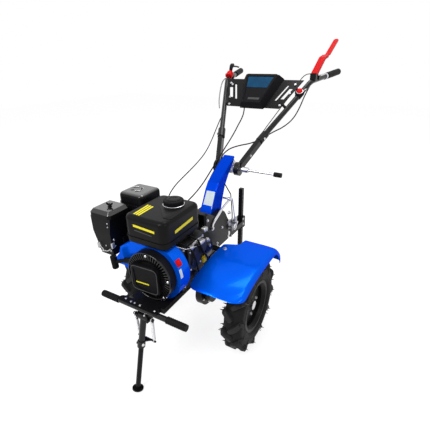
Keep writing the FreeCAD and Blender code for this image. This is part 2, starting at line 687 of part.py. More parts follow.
def muffler():
    """Exhaust box behind the air cleaner."""
    case = rounded_box(MUFFLER_RIGHT_X, MUFFLER_LEFT_X, MUFFLER_FRONT_Y, MUFFLER_REAR_Y,
                       MUFFLER_BOTTOM_Z, MUFFLER_TOP_Z, MUFFLER_CORNER)
    rim = [e for e in case.Edges if min(v.Z for v in e.Vertexes) > MUFFLER_TOP_Z - 0.1]
    case = case.makeFillet(MUFFLER_CORNER - 3, rim)
    out = MUFFLER_SEAM
    seam = rounded_box(MUFFLER_RIGHT_X - out, MUFFLER_LEFT_X + out, MUFFLER_FRONT_Y - out, MUFFLER_REAR_Y + out,
                       MUFFLER_SEAM_Z, MUFFLER_SEAM_Z + 4, MUFFLER_CORNER + out)
    return fuse(case, seam)


# ---------------------------------------------------------------- drive

def clutch_housing():
    """Bell housing between engine and gearbox."""
    return cylinder(92, (0, ENGINE_REAR_Y, CRANK_Z), (0, GEARBOX_FRONT_Y, CRANK_Z))


def gearbox_housing():
    """Main gearbox behind the bell housing."""
    profile = [(GEARBOX_FRONT_Y, GEARBOX_BOTTOM_Z), (GEARBOX_REAR_Y, GEARBOX_BOTTOM_Z),
               (GEARBOX_REAR_Y, 478), (GEARBOX_REAR_Y - 33, 532), (GEARBOX_REAR_Y - 60, 553), (70, 553),
               (10, 590), (GEARBOX_FRONT_Y, 590)]
    return bevelled(side_plate(profile, -GEARBOX_HALF_WIDTH, GEARBOX_HALF_WIDTH), GEARBOX_HALF_WIDTH, 7)


def lower_gear_case():
    """Case of the final drive, hanging from the gearbox to the axle."""
    drum = cylinder(LOWER_CASE_RADIUS, (LOWER_CASE_INNER_X, 0, TYRE_RADIUS),
                    (LOWER_CASE_DRUM_X, 0, TYRE_RADIUS))
    flange = cylinder(FINAL_FLANGE_RADIUS, (LOWER_CASE_DRUM_X, 0, TYRE_RADIUS),
                      (LOWER_CASE_OUTER_X, 0, TYRE_RADIUS))
    neck = side_plate([(-60, TYRE_RADIUS), (60, TYRE_RADIUS), (74, GEARBOX_BOTTOM_Z), (22, GEARBOX_BOTTOM_Z)],
                      LOWER_CASE_INNER_X, GEARBOX_HALF_WIDTH)
    return fuse(drum, flange, neck)


def guard_section(start, ahead):
    """Cross-section at the start of the mudguard's arch: a flat sheet with its outer edge rolled down."""
    upward = Vector(0, -ahead.z, ahead.y)
    inner = GUARD_INNER_X
    outer = GUARD_OUTER_X
    sheet = GUARD_SHEET
    roll = GUARD_ROLL
    shoulder = outer - roll

    def at(x, depth):
        return Vector(x, start.y, start.z) - upward * depth

    def arc(radius):
        slant = radius * math.sqrt(0.5)
        return Part.Arc(at(shoulder, roll - radius), at(shoulder + slant, roll - slant),
                        at(shoulder + radius, roll)).toShape()

    runs = ((at(inner, 0), at(shoulder, 0)), (at(outer, roll), at(outer, GUARD_SKIRT)),
            (at(outer, GUARD_SKIRT), at(outer - sheet, GUARD_SKIRT)),
            (at(outer - sheet, GUARD_SKIRT), at(outer - sheet, roll)),
            (at(shoulder, sheet), at(inner, sheet)), (at(inner, sheet), at(inner, 0)))
    lines = [Part.LineSegment(a, b).toShape() for a, b in runs]
    order = [lines[0], arc(roll), lines[1], lines[2], lines[3], arc(roll - sheet), lines[4], lines[5]]
    return Part.Wire(Part.__sortEdges__(order))


def corner_cutter(x, y, side_x, side_y, radius):
    """What rounds a corner of the mudguard seen from above. The sides say which way is outwards."""
    far_x = x + side_x
    far_y = y + side_y
    middle_x = x - side_x * radius
    middle_y = y - side_y * radius
    block = box(min(middle_x, far_x), max(middle_x, far_x), min(middle_y, far_y), max(middle_y, far_y), 0, 900)
    return block.cut(cylinder(radius, (middle_x, middle_y, -1), (middle_x, middle_y, 901)))


def mudguard():
    """Left mudguard, an arched sheet with its outer edge rolled down and a step in its inner edge."""
    top = guard_top()
    line = [Vector(0, GUARD_FRONT_Y, top - 38), Vector(0, -109, top - 12), Vector(0, -20, top - 1),
            Vector(0, GUARD_REAR_Y - 126, top - 1), Vector(0, GUARD_REAR_Y - 76, top - 9),
            Vector(0, GUARD_REAR_Y - 13, top - 64), Vector(0, GUARD_REAR_Y, top - 114)]
    path = bent_path([tuple(p) for p in line], GUARD_BEND)
    section = guard_section(line[0], (line[1] - line[0]).normalize())
    sheet = path.makePipeShell([section], True, False)
    notch = box(GUARD_INNER_X - 1, GUARD_STEP_X, GUARD_STEP_Y, 400, 0, 900)
    cutters = (notch, corner_cutter(GUARD_OUTER_X, GUARD_FRONT_Y, 1, -1, 42),
               corner_cutter(GUARD_INNER_X, GUARD_FRONT_Y, -1, -1, 20),
               corner_cutter(GUARD_INNER_X, GUARD_STEP_Y, -1, 1, 24))
    for cutter in cutters:
        sheet = sheet.cut(cutter)
    return sheet.Solids[0]


def mudguard_brackets():
    """Arm that carries the left mudguard from the gearbox, with its foot plate."""
    top = guard_top() - GUARD_SHEET - SEAT_GAP - 1
    bar = box(GEARBOX_HALF_WIDTH, 230, 20, 50, top - 6, top)
    foot = box(GEARBOX_HALF_WIDTH, GEARBOX_HALF_WIDTH + 5, 10, 60, top - 30, top - 6)
    return fuse(bar, foot)


def tower_plate():
    """Outline of the tower at its full width."""
    profile = [(75, 553), (80, 530), (172, 520), (194, 590), (217, 644), (264, 703), (315, 758), (310, 763),
               (263, 742), (214, 713), (152, 677), (128, 646), (100, 594)]
    return side_plate(profile, -TOWER_HALF_WIDTH, TOWER_HALF_WIDTH)


def tower():
    """Sheet-metal column that carries the handlebars."""
    return bevelled(tower_plate(), TOWER_HALF_WIDTH, TOWER_BEVEL).cut(gearbox_housing())


def handle_pivot():
    """Head behind the tower's top with the clamp bolt that both arms turn on."""
    profile = [(246, 700), (300, 752), (322, 735), (318, 690), (296, 680)]
    web = side_plate(profile, -TOWER_HALF_WIDTH, TOWER_HALF_WIDTH)
    face_x = ARM_INNER_X - 0.3
    boss = cylinder(24, (-face_x, HANDLE_PIVOT_Y, HANDLE_PIVOT_Z), (face_x, HANDLE_PIVOT_Y, HANDLE_PIVOT_Z))
    bolt_end = ARM_INNER_X + ARM_THICKNESS + 1
    bolt = cylinder(CLAMP_BOLT_RADIUS, (-bolt_end, HANDLE_PIVOT_Y, HANDLE_PIVOT_Z),
                    (bolt_end, HANDLE_PIVOT_Y, HANDLE_PIVOT_Z))
    return fuse(web.cut(tower_plate()), boss.cut(tower_plate()), bolt)


def clamp_lever():
    """Bright lever of the clamp, along the pivot's line."""
    inner = ARM_INNER_X + ARM_THICKNESS + 1
    collar_x = inner + CLAMP_STANDOFF
    collar = cylinder(CLAMP_BOLT_RADIUS, (inner, HANDLE_PIVOT_Y, HANDLE_PIVOT_Z),
                      (collar_x, HANDLE_PIVOT_Y, HANDLE_PIVOT_Z))
    boss = cylinder(13, (collar_x, HANDLE_PIVOT_Y, HANDLE_PIVOT_Z), (inner + 40, HANDLE_PIVOT_Y, HANDLE_PIVOT_Z))
    rod = cylinder(6, (inner + 40, HANDLE_PIVOT_Y, HANDLE_PIVOT_Z), (235, HANDLE_PIVOT_Y, HANDLE_PIVOT_Z))
    return fuse(collar, boss, rod)


def clamp_lever_grip():
    """Black end of the clamp lever."""
    return cylinder(11, (235, HANDLE_PIVOT_Y, HANDLE_PIVOT_Z), (270, HANDLE_PIVOT_Y, HANDLE_PIVOT_Z))


def hitch_bracket():
    """Arm behind the gearbox with an implement pin bore and the socket of the depth bar."""
    half = DEPTH_BAR_SIDE / 2
    inside = half + SEAT_GAP
    outer = inside + SOCKET_WALL
    arm = side_plate([(GEARBOX_REAR_Y, 384), (GEARBOX_REAR_Y, 430), (GEARBOX_REAR_Y + 30, 420),
                      (300, HITCH_Z + HITCH_ARM_HEIGHT / 2), (DEPTH_BAR_Y - outer, HITCH_Z + HITCH_ARM_HEIGHT / 2),
                      (DEPTH_BAR_Y - outer, HITCH_Z - HITCH_ARM_HEIGHT / 2), (290, HITCH_Z - HITCH_ARM_HEIGHT / 2)],
                     -HITCH_ARM_WIDTH / 2, HITCH_ARM_WIDTH / 2)
    socket = box(-outer, outer, DEPTH_BAR_Y - outer, DEPTH_BAR_Y + outer,
                 HITCH_Z - SOCKET_HEIGHT / 2, HITCH_Z + SOCKET_HEIGHT / 2)
    hole = box(-inside, inside, DEPTH_BAR_Y - inside, DEPTH_BAR_Y + inside, 0, HANDLE_PIVOT_Z)
    pin_bore = cylinder(HITCH_PIN_RADIUS, (0, HITCH_PIN_Y, 0), (0, HITCH_PIN_Y, HANDLE_PIVOT_Z))
    return fuse(arm, socket).cut(hole).cut(pin_bore)


def depth_bar():
    """Square bar that slides in the socket."""
    half = DEPTH_BAR_SIDE / 2
    return box(-half, half, DEPTH_BAR_Y - half, DEPTH_BAR_Y + half, DEPTH_BAR_BOTTOM_Z, DEPTH_BAR_TOP_Z)


# ---------------------------------------------------------------- handlebars

def between(a, b, share):
    """A point on the line from a to b."""
    return tuple(p + (q - p) * share for p, q in zip(a, b))


def handlebar_arm():
    """Left arm from the clamp on the tower up to the socket that holds the tube."""
    disc = cylinder(ARM_DISC_RADIUS, (ARM_INNER_X, HANDLE_PIVOT_Y, HANDLE_PIVOT_Z),
                    (ARM_INNER_X + ARM_THICKNESS, HANDLE_PIVOT_Y, HANDLE_PIVOT_Z))
    foot = Vector(ARM_INNER_X + ARM_THICKNESS / 2, HANDLE_PIVOT_Y, HANDLE_PIVOT_Z)
    run = Vector(*ARM_TOP) - foot
    across = Vector(0, -run.z, run.y).normalize() * (ARM_DEPTH / 2)
    half = Vector(ARM_THICKNESS / 2, 0, 0)
    corners = [foot + across + half, foot + across - half, foot - across - half, foot - across + half]
    bar = prism([tuple(c) for c in corners], tuple(run))
    tube_run = (Vector(*BAR_BEND) - Vector(*ARM_TOP)).normalize()
    socket = cylinder(BAR_RADIUS + 6, tuple(Vector(*ARM_TOP) - tube_run * 22), tuple(Vector(*ARM_TOP) + tube_run * 30))
    hole = cylinder(BAR_RADIUS + SEAT_GAP, ARM_TOP, tuple(Vector(*ARM_TOP) + tube_run * 40))
    bolt = cylinder(CLAMP_BOLT_RADIUS + RUNNING_CLEARANCE, (0, HANDLE_PIVOT_Y, HANDLE_PIVOT_Z),
                    (100, HANDLE_PIVOT_Y, HANDLE_PIVOT_Z))
    return fuse(disc, bar, socket).cut(bolt).cut(hole).Solids[0]


def handlebar_tube():
    """Left tube from its socket to the end inside the grip."""
    grip_start = between(GRIP_END, BAR_BEND, GRIP_LENGTH / 300)
    return bent_tube([ARM_TOP, BAR_BEND, grip_start], 90, BAR_RADIUS)


def handlebar_grip():
    """Left rubber grip."""
    start = between(GRIP_END, BAR_BEND, GRIP_LENGTH / 300)
    return cylinder(GRIP_RADIUS, start, GRIP_END)


def bar_point(share):
    """A point on the straight lower run of the left tube."""
    return between(ARM_TOP, BAR_BEND, share)


def console_frame(x, along, lift):
    """A point on the console plate's plane: across, up the slope, and off it."""
    low = Vector(0, *PLATE_LOW)
    slope = (Vector(0, *PLATE_HIGH) - low).normalize()
    normal = Vector(0, -slope.z, slope.y)
    p = low + slope * along + normal * lift
    return (x, p.y, p.z)


def sloping_plate(outline, lift, thickness):
    """An outline on the console's plane, as thick as stated."""
    points = [console_frame(x, s, lift) for x, s in outline]
    a = Vector(*console_frame(0, 0, 0))
    b = Vector(*console_frame(0, 0, 1))
    return prism(points, tuple((b - a) * thickness))


def plate_half_width(along):
    """Half width of the console plate at a distance up its slope."""
    return PLATE_LOW_HALF + (PLATE_HIGH_HALF - PLATE_LOW_HALF) * along / PLATE_LENGTH


def plate_slot(from_edge, half_width, start, end):
    """A slot in the left side of the console plate, alongside its edge."""
    low = plate_half_width(start) - from_edge
    high = plate_half_width(end) - from_edge
    outline = [(low - half_width, start), (low + half_width, start), (high + half_width, end), (high - half_width, end)]
    return sloping_plate(outline, -2 * PLATE_THICKNESS, 4 * PLATE_THICKNESS)


def plate_stay(along):
    """Short round stay from the left tube up to the console plate."""
    top = console_frame(plate_half_width(along) - 22, along, -PLATE_THICKNESS / 2)
    share = (top[1] - ARM_TOP[1]) / (BAR_BEND[1] - ARM_TOP[1])
    return cylinder(7, bar_point(share), top)


def console_bracket():
    """Flat plate between the two tubes that carries the console, with its four stays."""
    outline = [(-PLATE_LOW_HALF, 0), (PLATE_LOW_HALF, 0),
               (PLATE_HIGH_HALF, PLATE_LENGTH), (-PLATE_HIGH_HALF, PLATE_LENGTH)]
    plate = sloping_plate(outline, -PLATE_THICKNESS, PLATE_THICKNESS)
    for slot in (plate_slot(26, 9, 60, 130), plate_slot(54, 5, 50, 150)):
        plate = plate.cut(slot).cut(mirrored(slot))
    tube = handlebar_tube()
    stays = [plate_stay(along).cut(tube) for along in (40, 150)]
    return fuse(plate, *stays, *[mirrored(stay) for stay in stays])


def console_box():
    """Tapered console on the plate, its front face smaller than its base."""
    base = [(-65, -10), (65, -10), (114, 192), (-114, 192)]
    face = [(-52, -3), (52, -3), (88, 188), (-88, 188)]
    wires = []
    for outline, lift in ((base, 0), (face, CONSOLE_LIFT)):
        corners = [Vector(*console_frame(x, along, lift)) for x, along in outline]
        wires.append(Part.makePolygon(corners + corners[:1]))
    case = Part.makeLoft(wires, True, True)
    top = Vector(*console_frame(0, 0, CONSOLE_LIFT))
    up = (top - Vector(*console_frame(0, 0, 0))).normalize()
    front = [e for e in case.Edges if min((v.Point - top).dot(up) for v in e.Vertexes) > -0.1]
    case = case.makeChamfer(CONSOLE_EDGE, front)
    middle = sum(along for x, along in face) / len(face)
    panel = [(x * CONSOLE_PANEL, middle + (along - middle) * CONSOLE_PANEL) for x, along in face]
    return case.cut(sloping_plate(panel, CONSOLE_LIFT - CONSOLE_RECESS, 2 * CONSOLE_RECESS))


def clutch_lever():
    """Pressed lever above the left grip: a broad channel, a step, and a narrower blade with a round end."""
    channel = side_plate(strip([(772, 1106), (863, 1181), (904, 1191)], LEVER_CHANNEL), -17, 17)
    blade = side_plate(strip([(888, 1188), (936, 1199), (1046, 1274)], LEVER_SHEET), -13, 13)
    tip = [e for e in blade.Edges if min(v.Y for v in e.Vertexes) > 1035 and e.Length < 2 * LEVER_SHEET]
    bar = fuse(channel, blade.makeFillet(12, tip))
    bar.rotate(Vector(0, 765, 0), Vector(0, 0, 1), -LEVER_SLEW)
    bar.translate(Vector(246, 0, 0))
    return bar


def clutch_lever_clamp():
    """Clamp of the clutch lever on the left tube, with its foot along the tube."""
    block = box(232, 262, 750, 798, 1074, 1112)
    foot = box(244, 268, 798, 850, 1076, 1100)
    return fuse(block, foot).cut(handlebar_tube()).cut(clutch_lever()).Solids[0]


# ---------------------------------------------------------------- levers, linkage and small engine pieces

def shift_lever():
    """Flat bright lever beside the tower, on a pin in the gearbox's side."""
    line = [(200, 588), (172, 581), (141, 574), (112, 563), (84, 549), (55, 537), (39, 526), (32, 500)]
    bar = side_plate(strip(line, SHIFT_WIDTH), SHIFT_X, SHIFT_X + SHIFT_THICKNESS)
    low_pin = cylinder(6, (GEARBOX_HALF_WIDTH, 34, 510), (SHIFT_X + SHIFT_THICKNESS + 4, 34, 510))
    high_pin = cylinder(4.5, (TOWER_HALF_WIDTH, 196, 590), (SHIFT_X + SHIFT_THICKNESS + 8, 196, 590))
    knuckle = cylinder(9, (SHIFT_X - 6, 200, 588), (SHIFT_X + SHIFT_THICKNESS + 3, 200, 588))
    return fuse(bar, low_pin, high_pin, knuckle)


def shift_linkage():
    """Bright shaft, arm and knob behind the gearbox, with the thin rod up to the shift lever."""
    shaft = cylinder(8, (8, 232, 458), (88, 232, 458))
    drum = cylinder(18, (50, 232, 434), (78, 232, 434))
    foot = box(20, 52, GEARBOX_REAR_Y, 232, 424, 466)
    arm = box(22, 36, 222, 238, 382, 458)
    knob = cylinder(13, (16, 232, 384), (42, 232, 384))
    rod = cylinder(3, (80, 226, 458), (70, 212, 588))
    hook = cylinder(3, (70, 212, 588), (SHIFT_X + SHIFT_THICKNESS, 202, 588))
    return fuse(shaft, drum, foot, arm, knob, rod, hook).cut(shift_lever()).cut(hitch_bracket()).Solids[0]


def governor():
    """Cast cover, round flange and lever on the left side of the crankcase."""
    cover = rounded_box(CRANKCASE_LEFT_X, CRANKCASE_LEFT_X + 16, -206, -122, 436, 528, 6)
    flange = cylinder(24, (CRANKCASE_LEFT_X, -112, 500), (CRANKCASE_LEFT_X + 22, -112, 500))
    boss = cylinder(14, (CRANKCASE_LEFT_X, -160, 400), (CRANKCASE_LEFT_X + 14, -160, 400))
    lever = side_plate(strip([(-160, 528), (-178, 500), (-190, 462)], 12), CRANKCASE_LEFT_X + 16,
                       CRANKCASE_LEFT_X + 21)
    return fuse(cover, flange, boss, lever)


def oil_filler():
    """Square-topped plug of the oil filler, low on the left side of the crankcase."""
    neck = cylinder(11, (CRANKCASE_LEFT_X, -86, 428), (CRANKCASE_LEFT_X + 4, -86, 428))
    cap = box(CRANKCASE_LEFT_X + 4, CRANKCASE_LEFT_X + 12, -98, -74, 416, 440)
    return fuse(neck, cap)


def throttle_knob():
    """Round control with a red cap, on the inner side of the left tube."""
    centre = Vector(*bar_point(0.76))
    top = centre + Vector(-4, -14, 26)
    base = cylinder(15, tuple(centre), tuple(centre + Vector(-2, -8, 16)))
    cap = cylinder(11, tuple(centre + Vector(-2, -8, 16)), tuple(top))
    clip = cylinder(BAR_RADIUS + 4, bar_point(0.70), bar_point(0.78))
    return fuse(base, cap, clip).cut(handlebar_tube()).cut(console_bracket())


def right_controls():
    """Bracket and bent lever in front of the right grip."""
    clip = cylinder(BAR_RADIUS + 5, grip_side_point(60), grip_side_point(92))
    body = cylinder(12, grip_side_point(76), tuple(Vector(*grip_side_point(76)) + Vector(0, -8, 34)))
    lever_line = [grip_side_point(76, 34, -8), grip_side_point(130, 52, -4), grip_side_point(200, 42, 0),
                  grip_side_point(260, 30, 0)]
    lever = bent_tube(lever_line, 26, 4.5)
    return mirrored(fuse(clip, body, lever).cut(handlebar_tube()))


def grip_side_point(along, lift=0.0, ahead=0.0):
    """A point beside the left grip's run, measured from the tube's bend."""
    start = Vector(*BAR_BEND)
    run = (Vector(*GRIP_END) - start).normalize()
    p = start + run * along
    return (p.x, p.y + ahead, p.z + lift)


# ---------------------------------------------------------------- control cables

def cable(points):
    """A control cable on straight runs joined by arcs that leave part of each run straight."""
    corners = [Vector(*p) for p in points]
    edges = []
    start = corners[0]
    for before, corner, after in zip(corners, corners[1:], corners[2:]):
        back = before - corner
        on = after - corner
        half_turn = (math.pi - back.getAngle(on)) / 2
        trim = 0.45 * min(back.Length, on.Length)
        radius = trim / math.tan(half_turn)
        if radius < 5 * CABLE_DIAMETER:
            print("tight bend", round(radius), tuple(corner))
        back.normalize()
        on.normalize()
        arc_start = corner + back * trim
        arc_end = corner + on * trim
        middle = (back + on).normalize()
        arc_middle = corner + middle * (radius / math.cos(half_turn) - radius)
        edges.append(Part.LineSegment(start, arc_start).toShape())
        edges.append(Part.Arc(arc_start, arc_middle, arc_end).toShape())
        start = arc_end
    edges.append(Part.LineSegment(start, corners[-1]).toShape())
    path = Part.Wire(edges)
    ahead = corners[1] - corners[0]
    section = Part.Wire([Part.makeCircle(CABLE_DIAMETER / 2, corners[0], ahead)])
    tube = path.makePipeShell([section], True, False)
    share = tube.Volume / (math.pi * CABLE_DIAMETER ** 2 / 4 * path.Length)
    print("cable", round(path.Length), "mm, volume against section times length", round(share, 4))
    return tube


CLUTCH_CABLE_HIGH = [(238, 754, 1058.9), (222, 722, 1008), (214, 684, 953), (200, 632, 900), (170, 572, 866),
                     (138, 512, 850), (104, 462, 824), (66, 414, 806), (22, 372, 800), (-14, 336, 788),
                     (-36, 308, 762)]
CLUTCH_CABLE_LOW = [(-33, 288, 738), (-32.4, 254, 724), (-32.4, 215, 703), (-32.4, 178, 678),
                    (-32.4, 148, 640), (-32.4, 122, 596), (-33, 104, 557)]
THROTTLE_CABLE_HIGH = [(-54, 584.7, 974.3), (-54, 603, 950), (-54, 596, 915.5), (-53, 566, 889.5),
                       (-53.5, 530, 871.5), (-54, 492, 853), (-54, 452, 827), (-54, 412, 804), (-52, 368, 784),
                       (-50, 324, 762)]
THROTTLE_CABLE_LOW = [(-52, 254, 720), (-60, 222, 690), (-64, 184, 662), (-66, 140, 640), (-66, 92, 624),
                      (-66, 44, 613), (-64, -4, 603), (-62, -34, 574),
                      (-60, -45, 529.5)]


def placed(shape):
    """A finished piece moved from the axle's line to the machine's origin."""
    moved = shape.copy()
    moved.translate(Vector(0, -ORIGIN_BEHIND_AXLE, 0))
    return moved


def write(name, *shapes):
    """Writes one node. Several solids that do not touch go into one file."""
    solids = [s for shape in shapes for s in shape.Solids]
    shape = placed(solids[0] if len(solids) == 1 else Part.makeCompound(solids))
    if not shape.isValid():
        print("not valid:", name)
    shape.exportStep("parts/" + name + ".step")
    print(name, len(solids), round(sum(s.Volume for s in solids) / 1000), "cm3")


def main():
    os.makedirs("parts", exist_ok=True)
    for side, same in (("left", lambda s: s), ("right", mirrored)):
        write("tyre_" + side, same(tyre()))
        write("rim_" + side, same(rim()))
        write("hub_" + side, same(hub()))
        write("mudguard_" + side, same(mudguard()))
        write("handlebar_arm_" + side, same(handlebar_arm()))
        write("handlebar_tube_" + side, same(handlebar_tube()))
        write("grip_" + side, same(handlebar_grip()))
    write("bumper_ends", bumper_end(), mirrored(bumper_end()))
    write("cables_on_handlebars", cable(CLUTCH_CABLE_HIGH), cable(THROTTLE_CABLE_HIGH))
    write("cables_on_chassis", cable(CLUTCH_CABLE_LOW), cable(THROTTLE_CABLE_LOW))
    write("mudguard_brackets", mudguard_brackets(), mirrored(mudguard_brackets()))
    write("axle_shafts", axle_shaft(LOWER_CASE_OUTER_X), mirrored(axle_shaft(-LOWER_CASE_INNER_X)))
    for name, make in (("frame_rails", frame_rails), ("bumper_bar", bumper_bar),
                       ("bumper_bracket", bumper_bracket), ("stand_pivot_pin", pivot_pin),
                       ("stand_sleeve", stand_sleeve), ("stand_foot", stand_foot),
                       ("engine_block", engine_block), ("cylinder_head", cylinder_head),
                       ("blower_shroud", blower_shroud), ("recoil_housing", recoil_housing),
                       ("recoil_cover", recoil_cover), ("starter_grip", starter_grip),
                       ("tank_bracket", tank_bracket), ("fuel_tank", fuel_tank), ("fuel_cap", fuel_cap),
                       ("air_cleaner", air_cleaner), ("carburettor", carburettor),
                       ("exhaust_pipe", exhaust_pipe), ("muffler", muffler),
                       ("clutch_housing", clutch_housing), ("gearbox_housing", gearbox_housing),
                       ("lower_gear_case", lower_gear_case), ("tower", tower),
                       ("handle_pivot", handle_pivot), ("clamp_lever", clamp_lever),
                       ("clamp_lever_grip", clamp_lever_grip), ("hitch_bracket", hitch_bracket),
                       ("depth_bar", depth_bar), ("console_bracket", console_bracket),
                       ("console_box", console_box), ("clutch_lever", clutch_lever),
                       ("clutch_lever_clamp", clutch_lever_clamp), ("stand_springs", stand_springs),
                       ("shift_lever", shift_lever), ("shift_linkage", shift_linkage),
                       ("governor", governor), ("oil_filler", oil_filler),
                       ("throttle_knob", throttle_knob), ("right_controls", right_controls)):
        write(name, make())


main()
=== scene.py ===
import json
import math

import bmesh
import bpy
from mathutils import Matrix, Vector


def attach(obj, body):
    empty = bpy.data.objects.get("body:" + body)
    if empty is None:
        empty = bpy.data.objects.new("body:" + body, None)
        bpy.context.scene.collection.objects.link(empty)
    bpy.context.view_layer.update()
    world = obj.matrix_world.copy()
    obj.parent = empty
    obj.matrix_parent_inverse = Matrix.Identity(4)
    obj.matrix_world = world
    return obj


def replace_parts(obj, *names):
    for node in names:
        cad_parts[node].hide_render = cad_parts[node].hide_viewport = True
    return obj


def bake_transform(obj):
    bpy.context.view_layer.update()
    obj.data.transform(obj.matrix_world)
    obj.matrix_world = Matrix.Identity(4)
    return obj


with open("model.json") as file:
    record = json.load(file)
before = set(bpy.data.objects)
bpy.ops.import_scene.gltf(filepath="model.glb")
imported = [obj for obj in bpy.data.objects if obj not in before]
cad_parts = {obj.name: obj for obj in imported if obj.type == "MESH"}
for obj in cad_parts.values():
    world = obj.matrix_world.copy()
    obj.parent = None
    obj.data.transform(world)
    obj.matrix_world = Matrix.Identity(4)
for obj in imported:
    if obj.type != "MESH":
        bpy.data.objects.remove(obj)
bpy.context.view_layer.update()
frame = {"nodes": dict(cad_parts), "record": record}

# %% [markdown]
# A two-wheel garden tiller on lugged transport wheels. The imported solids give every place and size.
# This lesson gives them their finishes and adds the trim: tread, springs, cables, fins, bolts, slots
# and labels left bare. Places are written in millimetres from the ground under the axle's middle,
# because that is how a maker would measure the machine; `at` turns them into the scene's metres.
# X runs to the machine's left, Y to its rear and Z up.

NODES = frame["nodes"]
AXLE_Y = -0.288
SIDES = ((1, "left"), (-1, "right"))
ORIGIN = Vector((0, 0, 0))
UP, DOWN = (0, 0, 1), (0, 0, -1)
TO_LEFT, TO_RIGHT, TO_REAR, TO_FRONT = (1, 0, 0), (-1, 0, 0), (0, 1, 0), (0, -1, 0)


def at(x, y, z):
    """A place in millimetres from the ground under the axle, as metres in the scene."""
    return Vector((x / 1000, y / 1000 + AXLE_Y, z / 1000))


def new_object(name, data):
    """Puts an object with its data into the scene."""
    made = bpy.data.objects.new(name, data)
    bpy.context.scene.collection.objects.link(made)
    return made


# %% [markdown]
# The camera stands in front of the machine at its left, looking down on it. It is built from three
# directions, because a small roll is hard to give with rotation angles.

# %% Camera
AZIMUTH, ELEVATION, ROLL = math.radians(29.88), math.radians(25.21), math.radians(-0.57)
CAMERA_PLACE = (0.7198, -1.3735, 1.1852)
LENS, SENSOR_WIDTH = 27.87, 36

back = Vector((math.sin(AZIMUTH) * math.cos(ELEVATION), -math.cos(AZIMUTH) * math.cos(ELEVATION),
               math.sin(ELEVATION)))
level = Vector((math.cos(AZIMUTH), math.sin(AZIMUTH), 0))
above = back.cross(level)
right = level * math.cos(ROLL) + above * math.sin(ROLL)
up = above * math.cos(ROLL) - level * math.sin(ROLL)
camera = new_object("camera", bpy.data.cameras.new("camera"))
camera.data.lens = LENS
camera.data.sensor_width = SENSOR_WIDTH
camera.matrix_world = Matrix((right, up, back)).transposed().to_4x4()
camera.location = CAMERA_PLACE
bpy.context.scene.camera = camera
print("camera at", CAMERA_PLACE)

# %% [markdown]
# Looks and rules are both trees of nodes. One helper adds a node with its inputs, each of which takes
# a plain value, a socket of another node, or a node, which then gives its first output.

# %% Adding a node to a tree


def add_node(tree, kind, *first, setup=None, **named):
    """Adds a node, with its first inputs by their order and others by name, an underscore for a space."""
    made = tree.nodes.new(kind)
    for name, value in (setup or {}).items():
        setattr(made, name, value)
    by_name = [(name.replace("_", " "), value) for name, value in named.items()]
    for key, value in [*enumerate(first), *by_name]:
        if isinstance(value, bpy.types.Node):
            value = next(socket for socket in value.outputs if socket.enabled)
        if isinstance(value, bpy.types.NodeSocket):
            tree.links.new(value, made.inputs[key])
        else:
            made.inputs[key].default_value = value
    return made


def add_math(tree, operation, *values):
    """Adds one step of arithmetic."""
    return add_node(tree, "ShaderNodeMath", *values, setup={"operation": operation})


def shader_nodes(owner):
    """Empties a node tree and returns it."""
    owner.use_nodes = True
    owner.node_tree.nodes.clear()
    return owner.node_tree


print("helpers ready:", add_node.__name__, add_math.__name__)

# %% [markdown]
# The machine stands on a plain pale floor under a pale sky, with three large soft lamps. What the
# camera sees of the sky and the floor is white, but the light that they give stays at a plain level:
# the Light Path node tells a ray that is seen, straight or in a shiny surface, from a ray that lights
# the object, so each gets its own value.

# %% Floor, sky and lamps
FLOOR_HALF = 9
FLOOR_PLAIN, FLOOR_SEEN, FLOOR_GLOW = 0.72, 0.34, 0.80
SKY_LIGHT, SKY_SEEN = 0.55, 1.0
LAMP_AIM = Vector((0, 0, 0.6))


def end_by_ray(tree, kind, plain, seen):
    """Ends a tree with one look for plain light, and one for the camera, shiny surfaces and glass."""
    path = add_node(tree, "ShaderNodeLightPath")
    share = path.outputs["Is Camera Ray"]
    for name in ("Is Glossy Ray", "Is Transmission Ray"):
        share = add_math(tree, "MAXIMUM", share, path.outputs[name])
    add_node(tree, kind, add_node(tree, "ShaderNodeMixShader", share, plain, seen))


def soft_lamp(name, place, size, power):
    """A square area lamp that looks at the machine's middle."""
    lamp = new_object(name, bpy.data.lights.new(name, "AREA"))
    lamp.data.size = size
    lamp.data.energy = power
    lamp.location = place
    lamp.rotation_euler = (LAMP_AIM - Vector(place)).to_track_quat("-Z", "Y").to_euler()


floor = new_object("floor", bpy.data.meshes.new("floor"))
corners = [(x * FLOOR_HALF, y * FLOOR_HALF, 0) for x, y in ((-1, -1), (1, -1), (1, 1), (-1, 1))]
floor.data.from_pydata(corners, [], [(0, 1, 2, 3)])
floor_paint = bpy.data.materials.new("floor_paint")
tree = shader_nodes(floor_paint)
floor_plain, floor_seen = (add_node(tree, "ShaderNodeBsdfDiffuse", Color=(shade, shade, shade, 1))
                           for shade in (FLOOR_PLAIN, FLOOR_SEEN))
floor_glow = add_node(tree, "ShaderNodeEmission", Strength=FLOOR_GLOW)
end_by_ray(tree, "ShaderNodeOutputMaterial", floor_plain,
           add_node(tree, "ShaderNodeAddShader", floor_seen, floor_glow))
floor.data.materials.append(floor_paint)

bpy.context.scene.world = bpy.data.worlds.new("sky")
tree = shader_nodes(bpy.context.scene.world)
end_by_ray(tree, "ShaderNodeOutputWorld", *(add_node(tree, "ShaderNodeBackground", (1, 1, 1, 1), strength)
                                            for strength in (SKY_LIGHT, SKY_SEEN)))
soft_lamp("key_lamp", (-0.6, -2.8, 3.0), 1.4, 74)
soft_lamp("side_lamp", (3.0, -1.0, 2.2), 1.0, 17)
soft_lamp("top_lamp", (0.2, 0.9, 3.6), 1.6, 36)
bpy.context.scene.view_settings.view_transform = "Standard"
print("floor, sky and lamps made")

